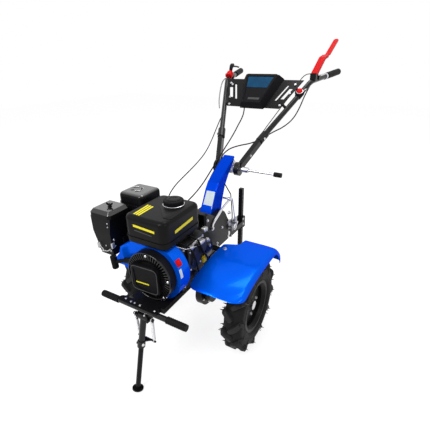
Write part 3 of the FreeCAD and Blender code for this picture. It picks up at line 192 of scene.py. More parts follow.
# %% [markdown]
# Each finish is a small tree: a large soft noise varies the colour and the gloss, a fine one gives
# the grain. Places come from object coordinates, which are metres on every piece, so one finish has
# the same grain on a large mudguard and on a small bolt.

# %% Making a finish
FINISH = {}
GRAIN_HEIGHT = 0.001
COAT_ROUGH = 0.08
TOP_STARTS, TOP_WHOLE = 0.55, 0.95


def grey(value, cool=0.0):
    """A grey, with a little more blue in it if it is a cool one."""
    return value, value, value + cool


def finish(slot, colour, other, rough=(0.3, 0.45), called=None, metallic=0.0, blotch=6.0, grain=900.0,
           bump=0.05, coat=0.0, specular=0.5, edge=(1, 1, 1)):
    """Adds a material whose colour runs from one value to the other, with a grain in its surface."""
    material = bpy.data.materials.new(called or slot)
    tree = shader_nodes(material)
    place = add_node(tree, "ShaderNodeTexCoord").outputs["Object"]
    large = add_node(tree, "ShaderNodeTexNoise", Vector=place, Scale=blotch, Detail=5)
    fine = add_node(tree, "ShaderNodeTexNoise", Vector=place, Scale=grain, Detail=2)
    tint = add_node(tree, "ShaderNodeMix", setup={"data_type": "RGBA"}, Factor=large, A=(*colour, 1),
                    B=(*other, 1))
    gloss = add_node(tree, "ShaderNodeMapRange", Value=large, To_Min=rough[0], To_Max=rough[1])
    relief = add_node(tree, "ShaderNodeBump", Height=fine, Strength=bump, Distance=GRAIN_HEIGHT)
    shader = add_node(tree, "ShaderNodeBsdfPrincipled", Base_Color=tint, Roughness=gloss, Normal=relief,
                      Metallic=metallic, Coat_Weight=coat, Coat_Roughness=COAT_ROUGH,
                      Specular_IOR_Level=specular, Specular_Tint=(*edge, 1))
    add_node(tree, "ShaderNodeOutputMaterial", shader)
    FINISH[slot] = material


def polish_tops(material, index=2.2, rough=0.14):
    """Gives a finish a clear coat on the faces that look upwards, where hands and rain keep it shiny."""
    tree = material.node_tree
    shader = next(node for node in tree.nodes if node.type == "BSDF_PRINCIPLED")
    shader.inputs["Coat IOR"].default_value = index
    shader.inputs["Coat Roughness"].default_value = rough
    way = add_node(tree, "ShaderNodeNewGeometry")
    split = add_node(tree, "ShaderNodeSeparateXYZ", Vector=way.outputs["Normal"])
    ramp = add_node(tree, "ShaderNodeMapRange", Value=split.outputs["Z"], From_Min=TOP_STARTS,
                    From_Max=TOP_WHOLE)
    tree.links.new(ramp.outputs["Result"], shader.inputs["Coat Weight"])


print("finish helpers ready")

# %% [markdown]
# Most of the machine is black, but in several ways: rubber, paint, enamel and grained plastic
# differ in gloss and grain, and that is what tells the parts from one another.

# %% Black finishes
SOOT, SOOT_WORN = grey(0.003, 0.001), grey(0.007, 0.001)
# The tread rubber is lighter than the carcass's: painted light on the lit lug tops. It is also a little
# glossier.
finish("tread_rubber_painted_light", grey(0.012), grey(0.028), (0.4, 0.6), blotch=14, grain=700, bump=0.4, specular=0.12)
finish("polished_black", SOOT, SOOT_WORN, grain=500, bump=0.03, specular=0.08)
polish_tops(FINISH["polished_black"])
finish("tyre", grey(0.008), grey(0.017), (0.45, 0.7), "tyre_rubber", grain=700, bump=0.4, specular=0.07)
finish("wheel_steel", grey(0.005, 0.001), grey(0.010, 0.001), (0.3, 0.5), "wheel_paint", specular=0.1)
finish("black_paint", SOOT, SOOT_WORN, (0.24, 0.4), "black_enamel", grain=500, coat=0.06, specular=0.10)
finish("tube_enamel", grey(0.004, 0.001), grey(0.009, 0.001), (0.2, 0.32), grain=500, bump=0.03, coat=0.32,
       specular=0.12)
finish("black_plastic", SOOT, SOOT_WORN, (0.42, 0.6), "grained_plastic", grain=1400, bump=0.25, specular=0.07)
finish("tank_paint", grey(0.004), grey(0.008), (0.26, 0.38), "tank_enamel", grain=420, bump=0.1,
       specular=0.08)
finish("grip_rubber", grey(0.003), grey(0.007), (0.5, 0.7), grain=800, bump=0.4, specular=0.12)
# Painted shade: a near-black for the plates and discs that stand for holes and openings in shade.
finish("hole_painted_shade", grey(0.001), grey(0.002), (0.8, 0.95), grain=800, bump=0.1, specular=0.02)
print("black finishes:", len(FINISH))

# %% [markdown]
# The blue is a metallic enamel, which stays blue where it shines, so its highlights are tinted. Bare
# metal runs from the dark cast crankcase to bright zinc, and labels are plain colours with a fine grain.

# %% Colours and metals
finish("blue_paint", (0.0, 0.088, 0.72), (0.0, 0.115, 0.84), (0.18, 0.26), "blue_enamel", metallic=0.45,
       blotch=3, grain=350, bump=0.02, coat=0.07, specular=0.0, edge=(0.02, 0.25, 1))
finish("deep_blue", (0.0, 0.028, 0.44), (0.0, 0.060, 0.64), (0.24, 0.36), metallic=0.3, grain=350, bump=0.02,
       coat=0.03, specular=0.0, edge=(0.02, 0.2, 1))
finish("red_plastic", (0.54, 0.004, 0.006), (0.64, 0.008, 0.010), (0.3, 0.42), "red_coating", grain=300,
       bump=0.01, specular=0.05)
finish("yellow_plastic", (0.60, 0.42, 0.01), (0.72, 0.52, 0.02), grain=500, bump=0.06, specular=0.2)
finish("yellow_label", (0.74, 0.63, 0.01), (0.84, 0.74, 0.03), (0.35, 0.5), blotch=60, grain=1500, bump=0.08,
       specular=0.2)
finish("pale_label", (0.50, 0.60, 0.66), (0.72, 0.78, 0.82), (0.35, 0.5), blotch=50, grain=1500, bump=0.08,
       specular=0.3)
finish("screen_blue", (0.0005, 0.020, 0.060), (0.001, 0.075, 0.17), (0.25, 0.35), blotch=12, grain=1500,
       bump=0.03, specular=0.1)
finish("grey_line", grey(0.035, 0.002), grey(0.07, 0.002), (0.4, 0.6), blotch=30, grain=1200, bump=0.1,
       specular=0.2)
finish("engine_metal", grey(0.012, 0.001), grey(0.055, 0.003), (0.4, 0.6), "cast_metal", metallic=0.85,
       blotch=40, grain=800, bump=0.5)
finish("bright_steel", grey(0.50, 0.02), grey(0.72, 0.02), (0.22, 0.38), "zinc_plate", metallic=1.0,
       blotch=30, bump=0.06)
finish("spring_steel", grey(0.66, 0.02), grey(0.84, 0.02), (0.35, 0.5), metallic=0.6, blotch=30, bump=0.04)
finish("sheath_grey", grey(0.14, 0.005), grey(0.30, 0.01), (0.35, 0.5), metallic=0.5, blotch=40, grain=1200)
finish("bare_cast", grey(0.34, 0.01), grey(0.62, 0.01), (0.3, 0.5), metallic=0.8, blotch=60, grain=700,
       bump=0.5)
print("finishes:", len(FINISH))

# %% [markdown]
# The record names a material for every solid. A few solids share a material there but not a gloss:
# the tubes and the bumper bar are shinier than the other black parts, and the tower is a deeper blue.

# %% Painting the solids
REPAINTED = {"tower": "deep_blue", "air_cleaner": "polished_black", "muffler": "polished_black",
             "clutch_lever_clamp": "black_paint", "bumper_bar": "tube_enamel", "stand_sleeve": "tube_enamel"}
for _, word in SIDES:
    REPAINTED |= {f"handlebar_tube_{word}": "tube_enamel", f"handlebar_arm_{word}": "tube_enamel"}
for entry in frame["record"]["subparts"]:
    materials = NODES[entry["node"]].data.materials
    materials.clear()
    materials.append(FINISH[REPAINTED.get(entry["node"], entry["material_slot"])])
print("painted:", len(NODES), "solids")

# %% [markdown]
# Most trim is one of a few forms: something turned, a loft through sections, a flat plate, a block or
# a bent wire. Each has a helper that adds it to a mesh that is being built. A turned form is a profile
# that is swept round an axis, as on a lathe, and a loft joins one outline to the next.

# %% Turned and lofted forms


def facing(direction):
    """A turn that carries straight up onto a direction."""
    return Vector(direction).to_track_quat("Z", "Y").to_matrix().to_4x4()


def on_circle(angle, radius):
    """The two places of a point on a circle, by its angle in radians."""
    return math.cos(angle) * radius, math.sin(angle) * radius


def round_steps(count):
    """The angles of equal steps round a circle."""
    return [2 * math.pi * i / count for i in range(count)]


def add_turned(shape, profile, foot, direction, sides=24, closed=False):
    """A turned form: pairs of height along the direction and radius, in millimetres."""
    place = Matrix.Translation(foot) @ facing(direction)
    rings = []
    for height, radius in profile:
        rings.append([shape.verts.new(place @ (Vector((*on_circle(angle, radius), height)) / 1000))
                      for angle in round_steps(sides if radius > 0.001 else 1)])
    if closed:
        rings.append(rings[0])
    for low, high in zip(rings, rings[1:]):
        for i in range(sides):
            j = (i + 1) % sides
            corners = (low[i % len(low)], low[j % len(low)], high[j % len(high)], high[i % len(high)])
            corners = list(dict.fromkeys(corners))
            if len(corners) > 2:
                shape.faces.new(corners)


def add_loft(shape, sections):
    """A closed form through several outlines with the same number of points, in scene metres."""
    rings = [[shape.verts.new(point) for point in section] for section in sections]
    for low, high in zip(rings, rings[1:]):
        for i in range(len(low)):
            j = (i + 1) % len(low)
            shape.faces.new((low[i], low[j], high[j], high[i]))
    shape.faces.new(rings[0][::-1])
    shape.faces.new(rings[-1])


def add_plate(shape, outline, thickness, place):
    """A flat plate: its outline in millimetres in the plane of the place, and its thickness."""
    add_loft(shape, [[place @ (Vector((x, y, z)) / 1000) for x, y in outline] for z in (0, thickness)])


print("turning and lofting helpers ready")

# %% [markdown]
# A block is a scaled cube with its edges taken off, because no cast or moulded edge is quite sharp. A
# wire is a ring of points that follows a line, turned at each point as little as the line allows.

# %% Blocks and wires


def add_block(shape, low, high, bevel=0.0):
    """A block between two corners, with its edges taken off."""
    low, high = at(*low), at(*high)
    size = Matrix.Diagonal((*(high - low), 1))
    made = bmesh.ops.create_cube(shape, size=1, matrix=Matrix.Translation((low + high) / 2) @ size)
    if bevel:
        edges = {edge for vert in made["verts"] for edge in vert.link_edges}
        bmesh.ops.bevel(shape, geom=list(edges), offset=bevel / 1000, segments=2, profile=0.5,
                        affect="EDGES")


def add_wire(shape, points, radius, sides=10, closed=False):
    """A round wire through points in scene metres, its radius in millimetres."""
    points = [Vector(point) for point in points]
    last = len(points) - 1
    rings = []
    normal = None
    for i, point in enumerate(points):
        ahead, behind = ((i + 1) % len(points), i - 1) if closed else (min(i + 1, last), max(i - 1, 0))
        along = (points[ahead] - points[behind]).normalized()
        if normal is None:
            normal = along.orthogonal().normalized()
        normal = (normal - along * normal.dot(along)).normalized()
        side = along.cross(normal)
        rings.append([shape.verts.new(point + (normal * math.cos(a) + side * math.sin(a)) * radius / 1000)
                      for a in round_steps(sides)])
    if closed:
        rings.append(rings[0])
    for low, high in zip(rings, rings[1:]):
        for k in range(sides):
            shape.faces.new((low[k], low[(k + 1) % sides], high[(k + 1) % sides], high[k]))
    if not closed:
        shape.faces.new(rings[0][::-1])
        shape.faces.new(rings[-1])


def add_rod(shape, places, radius, sides=10):
    """A round wire through places in millimetres."""
    add_wire(shape, [at(*place) for place in places], radius, sides)


def single(add, *form, **options):
    """A bmesh that holds one form."""
    shape = bmesh.new()
    add(shape, *form, **options)
    return shape


print("wire and block helpers ready")

# %% [markdown]
# A bmesh is a workbench copy of a mesh. When the forms on it are done, their faces are turned outwards,
# the flat ones are kept crisp by marking edges over a given angle as sharp, and the mesh goes onto an
# object at the origin. `keep` does that for every piece, paints it and makes it ride on its body.

# %% Making a piece out of a mesh


def as_mesh(shape):
    """The mesh of a bmesh, its faces turned outwards."""
    bmesh.ops.recalc_face_normals(shape, faces=shape.faces)
    mesh = bpy.data.meshes.new("form")
    shape.to_mesh(mesh)
    shape.free()
    return mesh


def joined(*meshes):
    """Several meshes as one bmesh."""
    whole = bmesh.new()
    for mesh in meshes:
        whole.from_mesh(mesh)
    return whole


def keep(name, source, finish_name, body="chassis", crease=30):
    """Makes a bmesh or a mesh a piece, riding on its body if it has only one."""
    mesh = as_mesh(source) if isinstance(source, bmesh.types.BMesh) else source
    mesh.name = name
    mesh.materials.clear()
    mesh.materials.append(FINISH[finish_name])
    mesh.shade_smooth()
    mesh.set_sharp_from_angle(angle=math.radians(crease))
    piece = new_object(name, mesh)
    if body:
        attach(piece, body)
    print(f"{name}: {len(mesh.polygons)} faces")
    return piece


def on_face(node, place, direction):
    """Where a straight line from a place first meets a solid, and the way the solid faces there."""
    met, point, normal, _ = NODES[node].ray_cast(at(*place), Vector(direction))
    if not met:
        raise ValueError(f"nothing of {node} from {place} towards {direction}")
    return point, normal


print("piece helpers ready")

# %% [markdown]
# Many things on a machine repeat: bolts, lugs, fins, ribs, holes. Geometry Nodes make those, with four
# small rules: one form on many points, one form round an axis, one form along a line, and a coil.
# A rule is a node group with named inputs, so the same rule gives a row of fins and a row of holes.

# %% Building and running a rule


def new_rule(name, **inputs):
    """An empty node group with geometry in and out and the stated inputs, and the inputs' sockets."""
    rule = bpy.data.node_groups.new(name, "GeometryNodeTree")
    for label, kind in {"Geometry": "Geometry", **inputs, "Finish": "Material"}.items():
        rule.interface.new_socket(label, in_out="INPUT", socket_type="NodeSocket" + kind)
    rule.interface.new_socket("Geometry", in_out="OUTPUT", socket_type="NodeSocketGeometry")
    return rule, rule.nodes.new("NodeGroupInput").outputs


def end_rule(rule, entry, geometry):
    """Ends a rule with real geometry in its finish."""
    real = add_node(rule, "GeometryNodeRealizeInstances", geometry)
    paint = add_node(rule, "GeometryNodeSetMaterial", Geometry=real, Material=entry["Finish"])
    add_node(rule, "NodeGroupOutput", paint)
    print("rule made:", rule.name)


def plain_mesh(holder):
    """The mesh that an object's modifier or its curve's settings give."""
    bpy.context.view_layer.update()
    graph = bpy.context.evaluated_depsgraph_get()
    return bpy.data.meshes.new_from_object(holder.evaluated_get(graph), depsgraph=graph)


def grow(rule, seed_mesh, finish_name, **settings):
    """Runs a rule on a seed mesh and gives the plain mesh that it makes."""
    seed = new_object("seed", seed_mesh)
    modifier = seed.modifiers.new("rule", "NODES")
    modifier.node_group = rule
    settings["Finish"] = FINISH[finish_name]
    for item in rule.interface.items_tree:
        if item.in_out == "INPUT" and item.name in settings:
            modifier[item.identifier] = settings[item.name]
    mesh = plain_mesh(seed)
    seed.modifiers.clear()
    bpy.data.objects.remove(seed)
    return mesh


print("rule helpers ready")

# %% [markdown]
# The first rule puts a form on each point of its seed. A point carries the way it faces and a size.
# It serves for bolts, screws and the moulding hairs of the tyres, and can vary the size by chance.

# %% Rule: a form on points
CHANCE_SEED = 7
point_rule, entry = new_rule("form_on_points", Form="Object", Spread="Float", Seed="Int")
form = add_node(point_rule, "GeometryNodeObjectInfo", Object=entry["Form"])
way, size = (add_node(point_rule, "GeometryNodeInputNamedAttribute", setup={"data_type": kind}, Name=name)
             for name, kind in (("way", "FLOAT_VECTOR"), ("size", "FLOAT")))
chance = add_node(point_rule, "FunctionNodeRandomValue", setup={"data_type": "FLOAT"}, Max=1.0,
                  Seed=entry["Seed"])
less = add_math(point_rule, "MULTIPLY", chance, entry["Spread"])
scale = add_math(point_rule, "MULTIPLY", add_math(point_rule, "SUBTRACT", 1.0, less), size)
aim = add_node(point_rule, "FunctionNodeAlignRotationToVector", setup={"axis": "Z"}, Vector=way)
placed = add_node(point_rule, "GeometryNodeInstanceOnPoints", Points=entry["Geometry"],
                  Instance=form.outputs["Geometry"], Rotation=aim, Scale=scale)
end_rule(point_rule, entry, placed)


def on_points(shape, spots, finish_name, spread=0.0):
    """A form on each spot, a spot being a point, the way it faces and a size."""
    form_object = new_object("form", as_mesh(shape))
    seeds = bpy.data.meshes.new("spots")
    seeds.from_pydata([spot[0] for spot in spots], [], [])
    seeds.attributes.new("way", "FLOAT_VECTOR", "POINT")
    seeds.attributes.new("size", "FLOAT", "POINT")
    for i, (_, facing_way, scale) in enumerate(spots):
        seeds.attributes["way"].data[i].vector = facing_way
        seeds.attributes["size"].data[i].value = scale
    grown = grow(point_rule, seeds, finish_name, Form=form_object, Spread=spread, Seed=CHANCE_SEED)
    bpy.data.objects.remove(form_object)
    return grown


# %% [markdown]
# The second rule repeats its seed round an axis through the origin, and the third along a line.
# Both start from a line of points and turn or shift each copy by its index.

# %% Rules: round an axis, and along a line
ring_rule, entry = new_rule("form_round_axis", Axis="Vector", Count="Int", Start="Float", Step="Float")
spokes = add_node(ring_rule, "GeometryNodeMeshLine", setup={"mode": "OFFSET"}, Count=entry["Count"],
                  Offset=(0, 0, 0))
number = add_node(ring_rule, "GeometryNodeInputIndex")
angle = add_math(ring_rule, "MULTIPLY_ADD", number, entry["Step"], entry["Start"])
turn = add_node(ring_rule, "FunctionNodeAxisAngleToRotation", Axis=entry["Axis"], Angle=angle)
placed = add_node(ring_rule, "GeometryNodeInstanceOnPoints", Points=spokes, Instance=entry["Geometry"],
                  Rotation=turn)
end_rule(ring_rule, entry, placed)

row_rule, entry = new_rule("form_along_line", Count="Int", Offset="Vector")
line = add_node(row_rule, "GeometryNodeMeshLine", setup={"mode": "OFFSET"}, Count=entry["Count"],
                Offset=entry["Offset"])
placed = add_node(row_rule, "GeometryNodeInstanceOnPoints", Points=line, Instance=entry["Geometry"])
end_rule(row_rule, entry, placed)


def round_axis(shape, finish_name, axis, centre, count, start, step):
    """Repeats a form that was made about the origin, round an axis through a centre, by steps in degrees."""
    mesh = grow(ring_rule, as_mesh(shape), finish_name, Axis=axis, Count=count, Start=math.radians(start),
                Step=math.radians(step))
    mesh.transform(Matrix.Translation(centre))
    return mesh


def rows_of(finish_name, *rows):
    """Several rows as one bmesh, a row being a form, how many there are and the step in millimetres."""
    return joined(*(grow(row_rule, as_mesh(shape), finish_name, Count=count,
                         Offset=[value / 1000 for value in step]) for shape, count, step in rows))


# %% [markdown]
# The tyre's carcass is a turned form: bead, side wall with two fine ribs, shoulder and a nearly flat
# crown. It is drawn as one half outline and mirrored, which keeps both sides alike.

# %% Tyre carcass
AXLE_HEIGHT = 200
WHEEL_CENTRE = at(267, 0, AXLE_HEIGHT)
SIDE_OUTLINE = [(31.7, 108.6), (31.9, 116.5), (34.5, 120.5), (38, 124), (40.2, 128), (40.9, 129.6),
                (41.9, 130.4), (41.9, 132.4), (41.4, 133.6), (42.2, 140), (43.6, 141), (43.8, 143.2),
                (42.9, 144.6), (43, 150), (42.4, 158), (40.8, 165), (38, 170.5), (33, 175.5), (26, 179.5),
                (17, 182.2), (8, 183.6), (0, 184)]
whole_outline = SIDE_OUTLINE + [(-x, r) for x, r in SIDE_OUTLINE[-2::-1]]
CARCASS = as_mesh(single(add_turned, whole_outline, WHEEL_CENTRE, TO_LEFT, sides=96, closed=True))
print("carcass:", len(CARCASS.polygons), "faces")

# %% [markdown]
# Twenty-four slanted bars stand on the carcass, twelve a side, half a pitch apart. One pair is lofted
# from the middle of the tread out over the shoulder, and the axis rule repeats it round the wheel.

# %% Tread lugs
LUG_COUNT, LUG_PITCH = 12, 30
LUG_STARTS = ((1, 180), (-1, 195))
SLANT = math.radians(42)
LUG_HALF, LUG_TOP = 10, 199.9
LUG_FLARE, LUG_SHOULDER = 0.6, 45
LUG_REACH = (46 - LUG_HALF * math.sin(SLANT)) / math.cos(SLANT)
LUG_STATIONS = [(-6, 4.0, 197.5, 178), (-3, 7.6, 199.3, 177), (2, 9.6, LUG_TOP, 177),
                (12, LUG_HALF, LUG_TOP, 177), (24, LUG_HALF, LUG_TOP, 174), (36, LUG_HALF, LUG_TOP, 168),
                (43, LUG_HALF, 198.6, 158), (48, LUG_HALF, 193, 150), (LUG_REACH - 1, LUG_HALF, 186, 146),
                (LUG_REACH, 9.2, 182, 149)]


def lug_point(along, across, radius, side, turned_by):
    """A point of a lug about the origin: along the bar, across it, and its distance from the axle."""
    x = along * math.cos(SLANT) - across * math.sin(SLANT)
    y = along * math.sin(SLANT) + across * math.cos(SLANT)
    z = math.sqrt(max(radius ** 2 - y ** 2, 0))
    c, s = on_circle(math.radians(turned_by), 1)
    return Vector((side * x, y * c - z * s, y * s + z * c)) / 1000


def add_lug(shape, side, turned_by):
    """One bar with a rounded inner end, a flat top and a foot that runs down the side wall."""
    sections = []
    for along, half, top, foot in LUG_STATIONS:
        ease = min(1.4, half / 4)
        flare = LUG_FLARE if along < LUG_SHOULDER else 0
        flank = [(half + flare, foot), (half, top - 5), (half - 0.5, top - 1.2), (half - ease - 0.6, top)]
        section = [(-across, radius) for across, radius in flank] + flank[::-1]
        sections.append([lug_point(across=across, along=along, radius=radius, side=side, turned_by=turned_by)
                         for across, radius in section])
    add_loft(shape, sections)


pair = bmesh.new()
for side, turned_by in LUG_STARTS:
    add_lug(pair, side, turned_by)
LUGS = round_axis(pair, "tyre", TO_LEFT, WHEEL_CENTRE, LUG_COUNT, 0, LUG_PITCH)
print("lugs:", len(LUGS.polygons), "faces")

# %% [markdown]
# A new tyre keeps the thin rubber hairs that the vents of its mould leave. They stand sideways at the
# lugs' ends and between them, each a little different in length, so the point rule gives them a random
# size with a fixed seed.

# %% Moulding hairs
HAIR_SPREAD = 0.12
END_HAIRS = ((-8, 183, 0.30, 1.0), (6, 181, 0.45, 1.25), (-2, 160, 0.0, 1.0))
HAIRS_BETWEEN = ((13, 38.5, 169), (22, 33, 175))
HAIR_PROFILE = [(-2, 0), (-2, 2.1), (4, 1.6), (9.6, 0.6), (9.6, 0)]


def hair_spots():
    """Where the hairs of the left tyre stand, and which way."""
    spots = []
    for i in range(LUG_COUNT):
        for side, start in LUG_STARTS:
            turned_by = start + LUG_PITCH * i
            longer = 1.0 if side > 0 else 1.35
            for across, radius, lift, scale in END_HAIRS:
                point = lug_point(LUG_REACH - 1.5, across, radius, side, turned_by)
                spots.append((point, side, lift, longer * scale))
            for step, x, radius in HAIRS_BETWEEN:
                back, down = on_circle(math.radians(turned_by + step - 90), radius)
                spots.append((Vector((side * x, -back, -down)) / 1000, side, 0.5, longer * 1.15))
    placed = []
    for point, side, lift, scale in spots:
        outward = Vector((0, point.y, point.z)).normalized()
        placed.append((point + WHEEL_CENTRE, Vector((side, 0, 0)) + outward * lift, scale))
    return placed


hair = single(add_turned, HAIR_PROFILE, ORIGIN, UP, sides=5)
HAIRS = on_points(hair, hair_spots(), "tyre", HAIR_SPREAD)
# The lugs take the lighter tread finish, which is painted light on the tread.
for side, word in SIDES:
    for name, mesh, finish_name, crease in (("carcass", CARCASS, "tyre", 40),
                                            ("lugs", LUGS, "tread_rubber_painted_light", 38), ("hairs", HAIRS, "tyre", 60)):
        whole = joined(mesh)
        if side < 0:
            bmesh.ops.transform(whole, matrix=Matrix.Diagonal((-1, 1, 1, 1)), verts=whole.verts)
        piece = keep(f"tyre_{word}_{name}", whole, finish_name, f"{word}_wheel", crease)
        if name == "carcass":
            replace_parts(piece, f"tyre_{word}")

# %% [markdown]
# A mudguard is pressed from one sheet: nearly flat on top, rolled down along its outer edge, domed at
# its front corner, and drawn in at the back in a soft S. A pressing follows a rule, so its skin is one
# grid of points: rows follow the sheet's line in the side view, and each point sinks by its distance
# from the rounded outer edge. The sheet then gets its thickness.

# %% Mudguards: the rule of the pressing
GUARD_LINE = [(-222, 382), (-168, 395), (-109, 408), (-60, 414), (-20, 419), (120, 419), (150, 416),
              (170, 411), (200, 388), (233, 356), (242, 334), (246, 306)]
GUARD_IN, GUARD_NECK, GUARD_OUT = 98, 165, 322
GUARD_CORNER, GUARD_INNER_CORNER, GUARD_ROLL = 52, 24, 19
DOME_CORNER, DOME_REACH, DOME_LENGTH = 135, 75, 170
DOME_LEAST, DOME_MORE = 4, 7
GUARD_SHEET = 2.6
SKIRT_LEAST, SKIRT_MORE, SKIRT_FADE = 1.5, 3, 20
NECK_START, NECK_LENGTH = 70, 42
ROLL_LOST, ROLL_TURN, SKIRT_TURN = 0.85, 1.15, 1.3


def side_line(points, rounds=3):
    """A smooth line through the side view, by cutting corners, with its length so far at each point."""
    for _ in range(rounds):
        cut = [points[0]]
        for (y0, z0), (y1, z1) in zip(points, points[1:]):
            cut += [(y0 * (1 - share) + y1 * share, z0 * (1 - share) + z1 * share) for share in (0.25, 0.75)]
        points = cut + [points[-1]]
    run, marked = 0.0, [(0.0, *points[0])]
    for (y0, z0), (y1, z1) in zip(points, points[1:]):
        run += math.hypot(y1 - y0, z1 - z0)
        marked.append((run, y1, z1))
    return marked


def eased(share):
    """From 0 to 1 with a soft start and end."""
    share = min(max(share, 0), 1)
    return share * share * (3 - 2 * share)


def quarter_fall(distance, radius):
    """How far a rounded corner falls back at a distance from its edge."""
    return radius - math.sqrt(radius ** 2 - (radius - min(distance, radius)) ** 2)


def from_edges(x, s, corner):
    """The distance of a point from the outer and front edges, past a rounded corner."""
    outward, forward = x - (GUARD_OUT - corner), corner - s
    if outward > 0 and forward > 0:
        return corner - math.hypot(outward, forward)
    return min(GUARD_OUT - x, s)


def guard_drop(x, s):
    """How far a point of the sheet lies below its line, and how much of a skirt hangs from its edge."""
    outward, forward = x - (GUARD_OUT - GUARD_CORNER), GUARD_CORNER - s
    if outward > 0 and forward > 0:
        edge, turn = GUARD_CORNER - math.hypot(outward, forward), math.atan2(forward, outward) / (math.pi / 2)
    else:
        edge, turn = (GUARD_OUT - x, 0) if outward > 0 else (s, 1)
    roll = quarter_fall(max(edge, 0), GUARD_ROLL) * (1 - ROLL_LOST * eased(turn * ROLL_TURN))
    dome = (1 - min(max(from_edges(x, s, DOME_CORNER), 0), DOME_REACH) / DOME_REACH) ** 2
    return roll + dome * (DOME_LEAST + DOME_MORE * eased(1 - s / DOME_LENGTH)), 1 - eased(turn * SKIRT_TURN)


print("mudguard line:", round(side_line(GUARD_LINE)[-1][0]), "mm long")

# %% [markdown]
# The grid is finer where the sheet bends most: near its front edge and near its outer one.

# %% Mudguards: the sheet
FRONT_STATIONS = [0, 1, 3, 6, 10, 15, 21, 28, 36, 44, 52]
STATION_STEP = 8
SHARES = [0, 0.015, 0.05, 0.1, 0.17, 0.25, 0.33, 0.41, 0.49, 0.57, 0.64, 0.70, 0.75, 0.80, 0.84, 0.875, 0.905,
          0.93, 0.95, 0.968, 0.982, 0.993, 1]


def mudguard(side):
    """One mudguard as a closed sheet."""
    line = side_line(GUARD_LINE)
    total = line[-1][0]
    stations = FRONT_STATIONS[:]
    while stations[-1] < total - STATION_STEP - 1:
        stations.append(stations[-1] + STATION_STEP)
    stations.append(total)
    shape = bmesh.new()
    rows = []
    for s in stations:
        i = max(k for k in range(len(line) - 1) if line[k][0] <= s)
        share = (s - line[i][0]) / (line[i + 1][0] - line[i][0])
        y, z = (line[i][k] + (line[i + 1][k] - line[i][k]) * share for k in (1, 2))
        ahead = Vector((0, line[i + 1][1] - line[i][1], line[i + 1][2] - line[i][2])).normalized()
        up = Vector((0, -ahead.z, ahead.y))
        inner = GUARD_IN + (GUARD_NECK - GUARD_IN) * eased((y - NECK_START) / NECK_LENGTH)
        inner += quarter_fall(s, GUARD_INNER_CORNER)
        outer = GUARD_OUT - quarter_fall(s, GUARD_CORNER)
        row = []
        for share in SHARES:
            x = inner + (outer - inner) * share
            down, skirt = guard_drop(x, s)
            row.append(shape.verts.new(at(side * x, y, z) - up * down / 1000))
        down += SKIRT_LEAST + SKIRT_MORE * skirt * min(1, (total - s) / SKIRT_FADE)
        row.append(shape.verts.new(at(side * outer, y, z) - up * down / 1000))
        rows.append(row)
    for low, high in zip(rows, rows[1:]):
        for k in range(len(low) - 1):
            shape.faces.new((low[k], low[k + 1], high[k + 1], high[k]))
    bmesh.ops.recalc_face_normals(shape, faces=shape.faces)
    if max(shape.faces, key=lambda face: face.calc_center_median().z).normal.z < 0:
        bmesh.ops.reverse_faces(shape, faces=shape.faces)
    bmesh.ops.solidify(shape, geom=shape.faces[:], thickness=GUARD_SHEET / 1000)
    return shape


for side, word in SIDES:
    sheet = keep(f"mudguard_{word}_sheet", mudguard(side), "blue_paint", crease=40)
    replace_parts(sheet, f"mudguard_{word}")
    NODES[f"mudguard_{word}"] = sheet
bpy.context.view_layer.update()

# %% [markdown]
# Two coil springs pull the stand up or hold it down. A coil is the plainest of rules: a spiral curve
# with a small circle swept along it. Wire rings hook each end over its pin.

# %% Stand springs
coil_rule, entry = new_rule("coil", Radius="Float", Height="Float", Turns="Float", Wire="Float")
spiral = add_node(coil_rule, "GeometryNodeCurveSpiral", Resolution=14, Rotations=entry["Turns"],
                  Start_Radius=entry["Radius"], End_Radius=entry["Radius"], Height=entry["Height"])
round_wire = add_node(coil_rule, "GeometryNodeCurvePrimitiveCircle", Resolution=7, Radius=entry["Wire"])
sweep = add_node(coil_rule, "GeometryNodeCurveToMesh", Curve=spiral, Profile_Curve=round_wire, Fill_Caps=True)
end_rule(coil_rule, entry, sweep)


def coil(start, end, radius, wire, turns, finish_name):
    """A coil between two points in scene metres."""
    mesh = grow(coil_rule, bpy.data.meshes.new("none"), finish_name, Radius=radius / 1000,
                Height=(end - start).length, Turns=float(turns), Wire=wire / 1000)
    mesh.transform(Matrix.Translation(start) @ facing(end - start))
    return mesh


def eye(centre, radius):
    """Points of a ring round a pin that runs along X."""
    return [centre + Vector((0, math.cos(a), math.sin(a))) * radius / 1000 for a in round_steps(20)]


COIL_RADIUS, COIL_WIRE, COIL_TURNS = 4.6, 1.8, 25
coils = []
hooks = bmesh.new()
for side, _ in SIDES:
    high, low = at(side * 40, -379, 309), at(side * 36, -374.9, 198.4)
    along = (low - high).normalized()
    coils.append(coil(high + along * 0.011, low - along * 0.009, COIL_RADIUS, COIL_WIRE, COIL_TURNS,
                      "spring_steel"))
    for pin, way, radius, wire, near, far in ((high, along, 7.6, 1.4, 0.0075, 0.014),
                                              (low, -along, 5.6, 1.3, 0.0055, 0.012)):
        add_wire(hooks, eye(pin, radius), wire, closed=True)
        add_wire(hooks, [pin + way * near, pin + way * far], wire)
springs = keep("stand_coil_springs", joined(*coils, as_mesh(hooks)), "spring_steel", "stand", 60)
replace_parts(springs, "stand_springs")
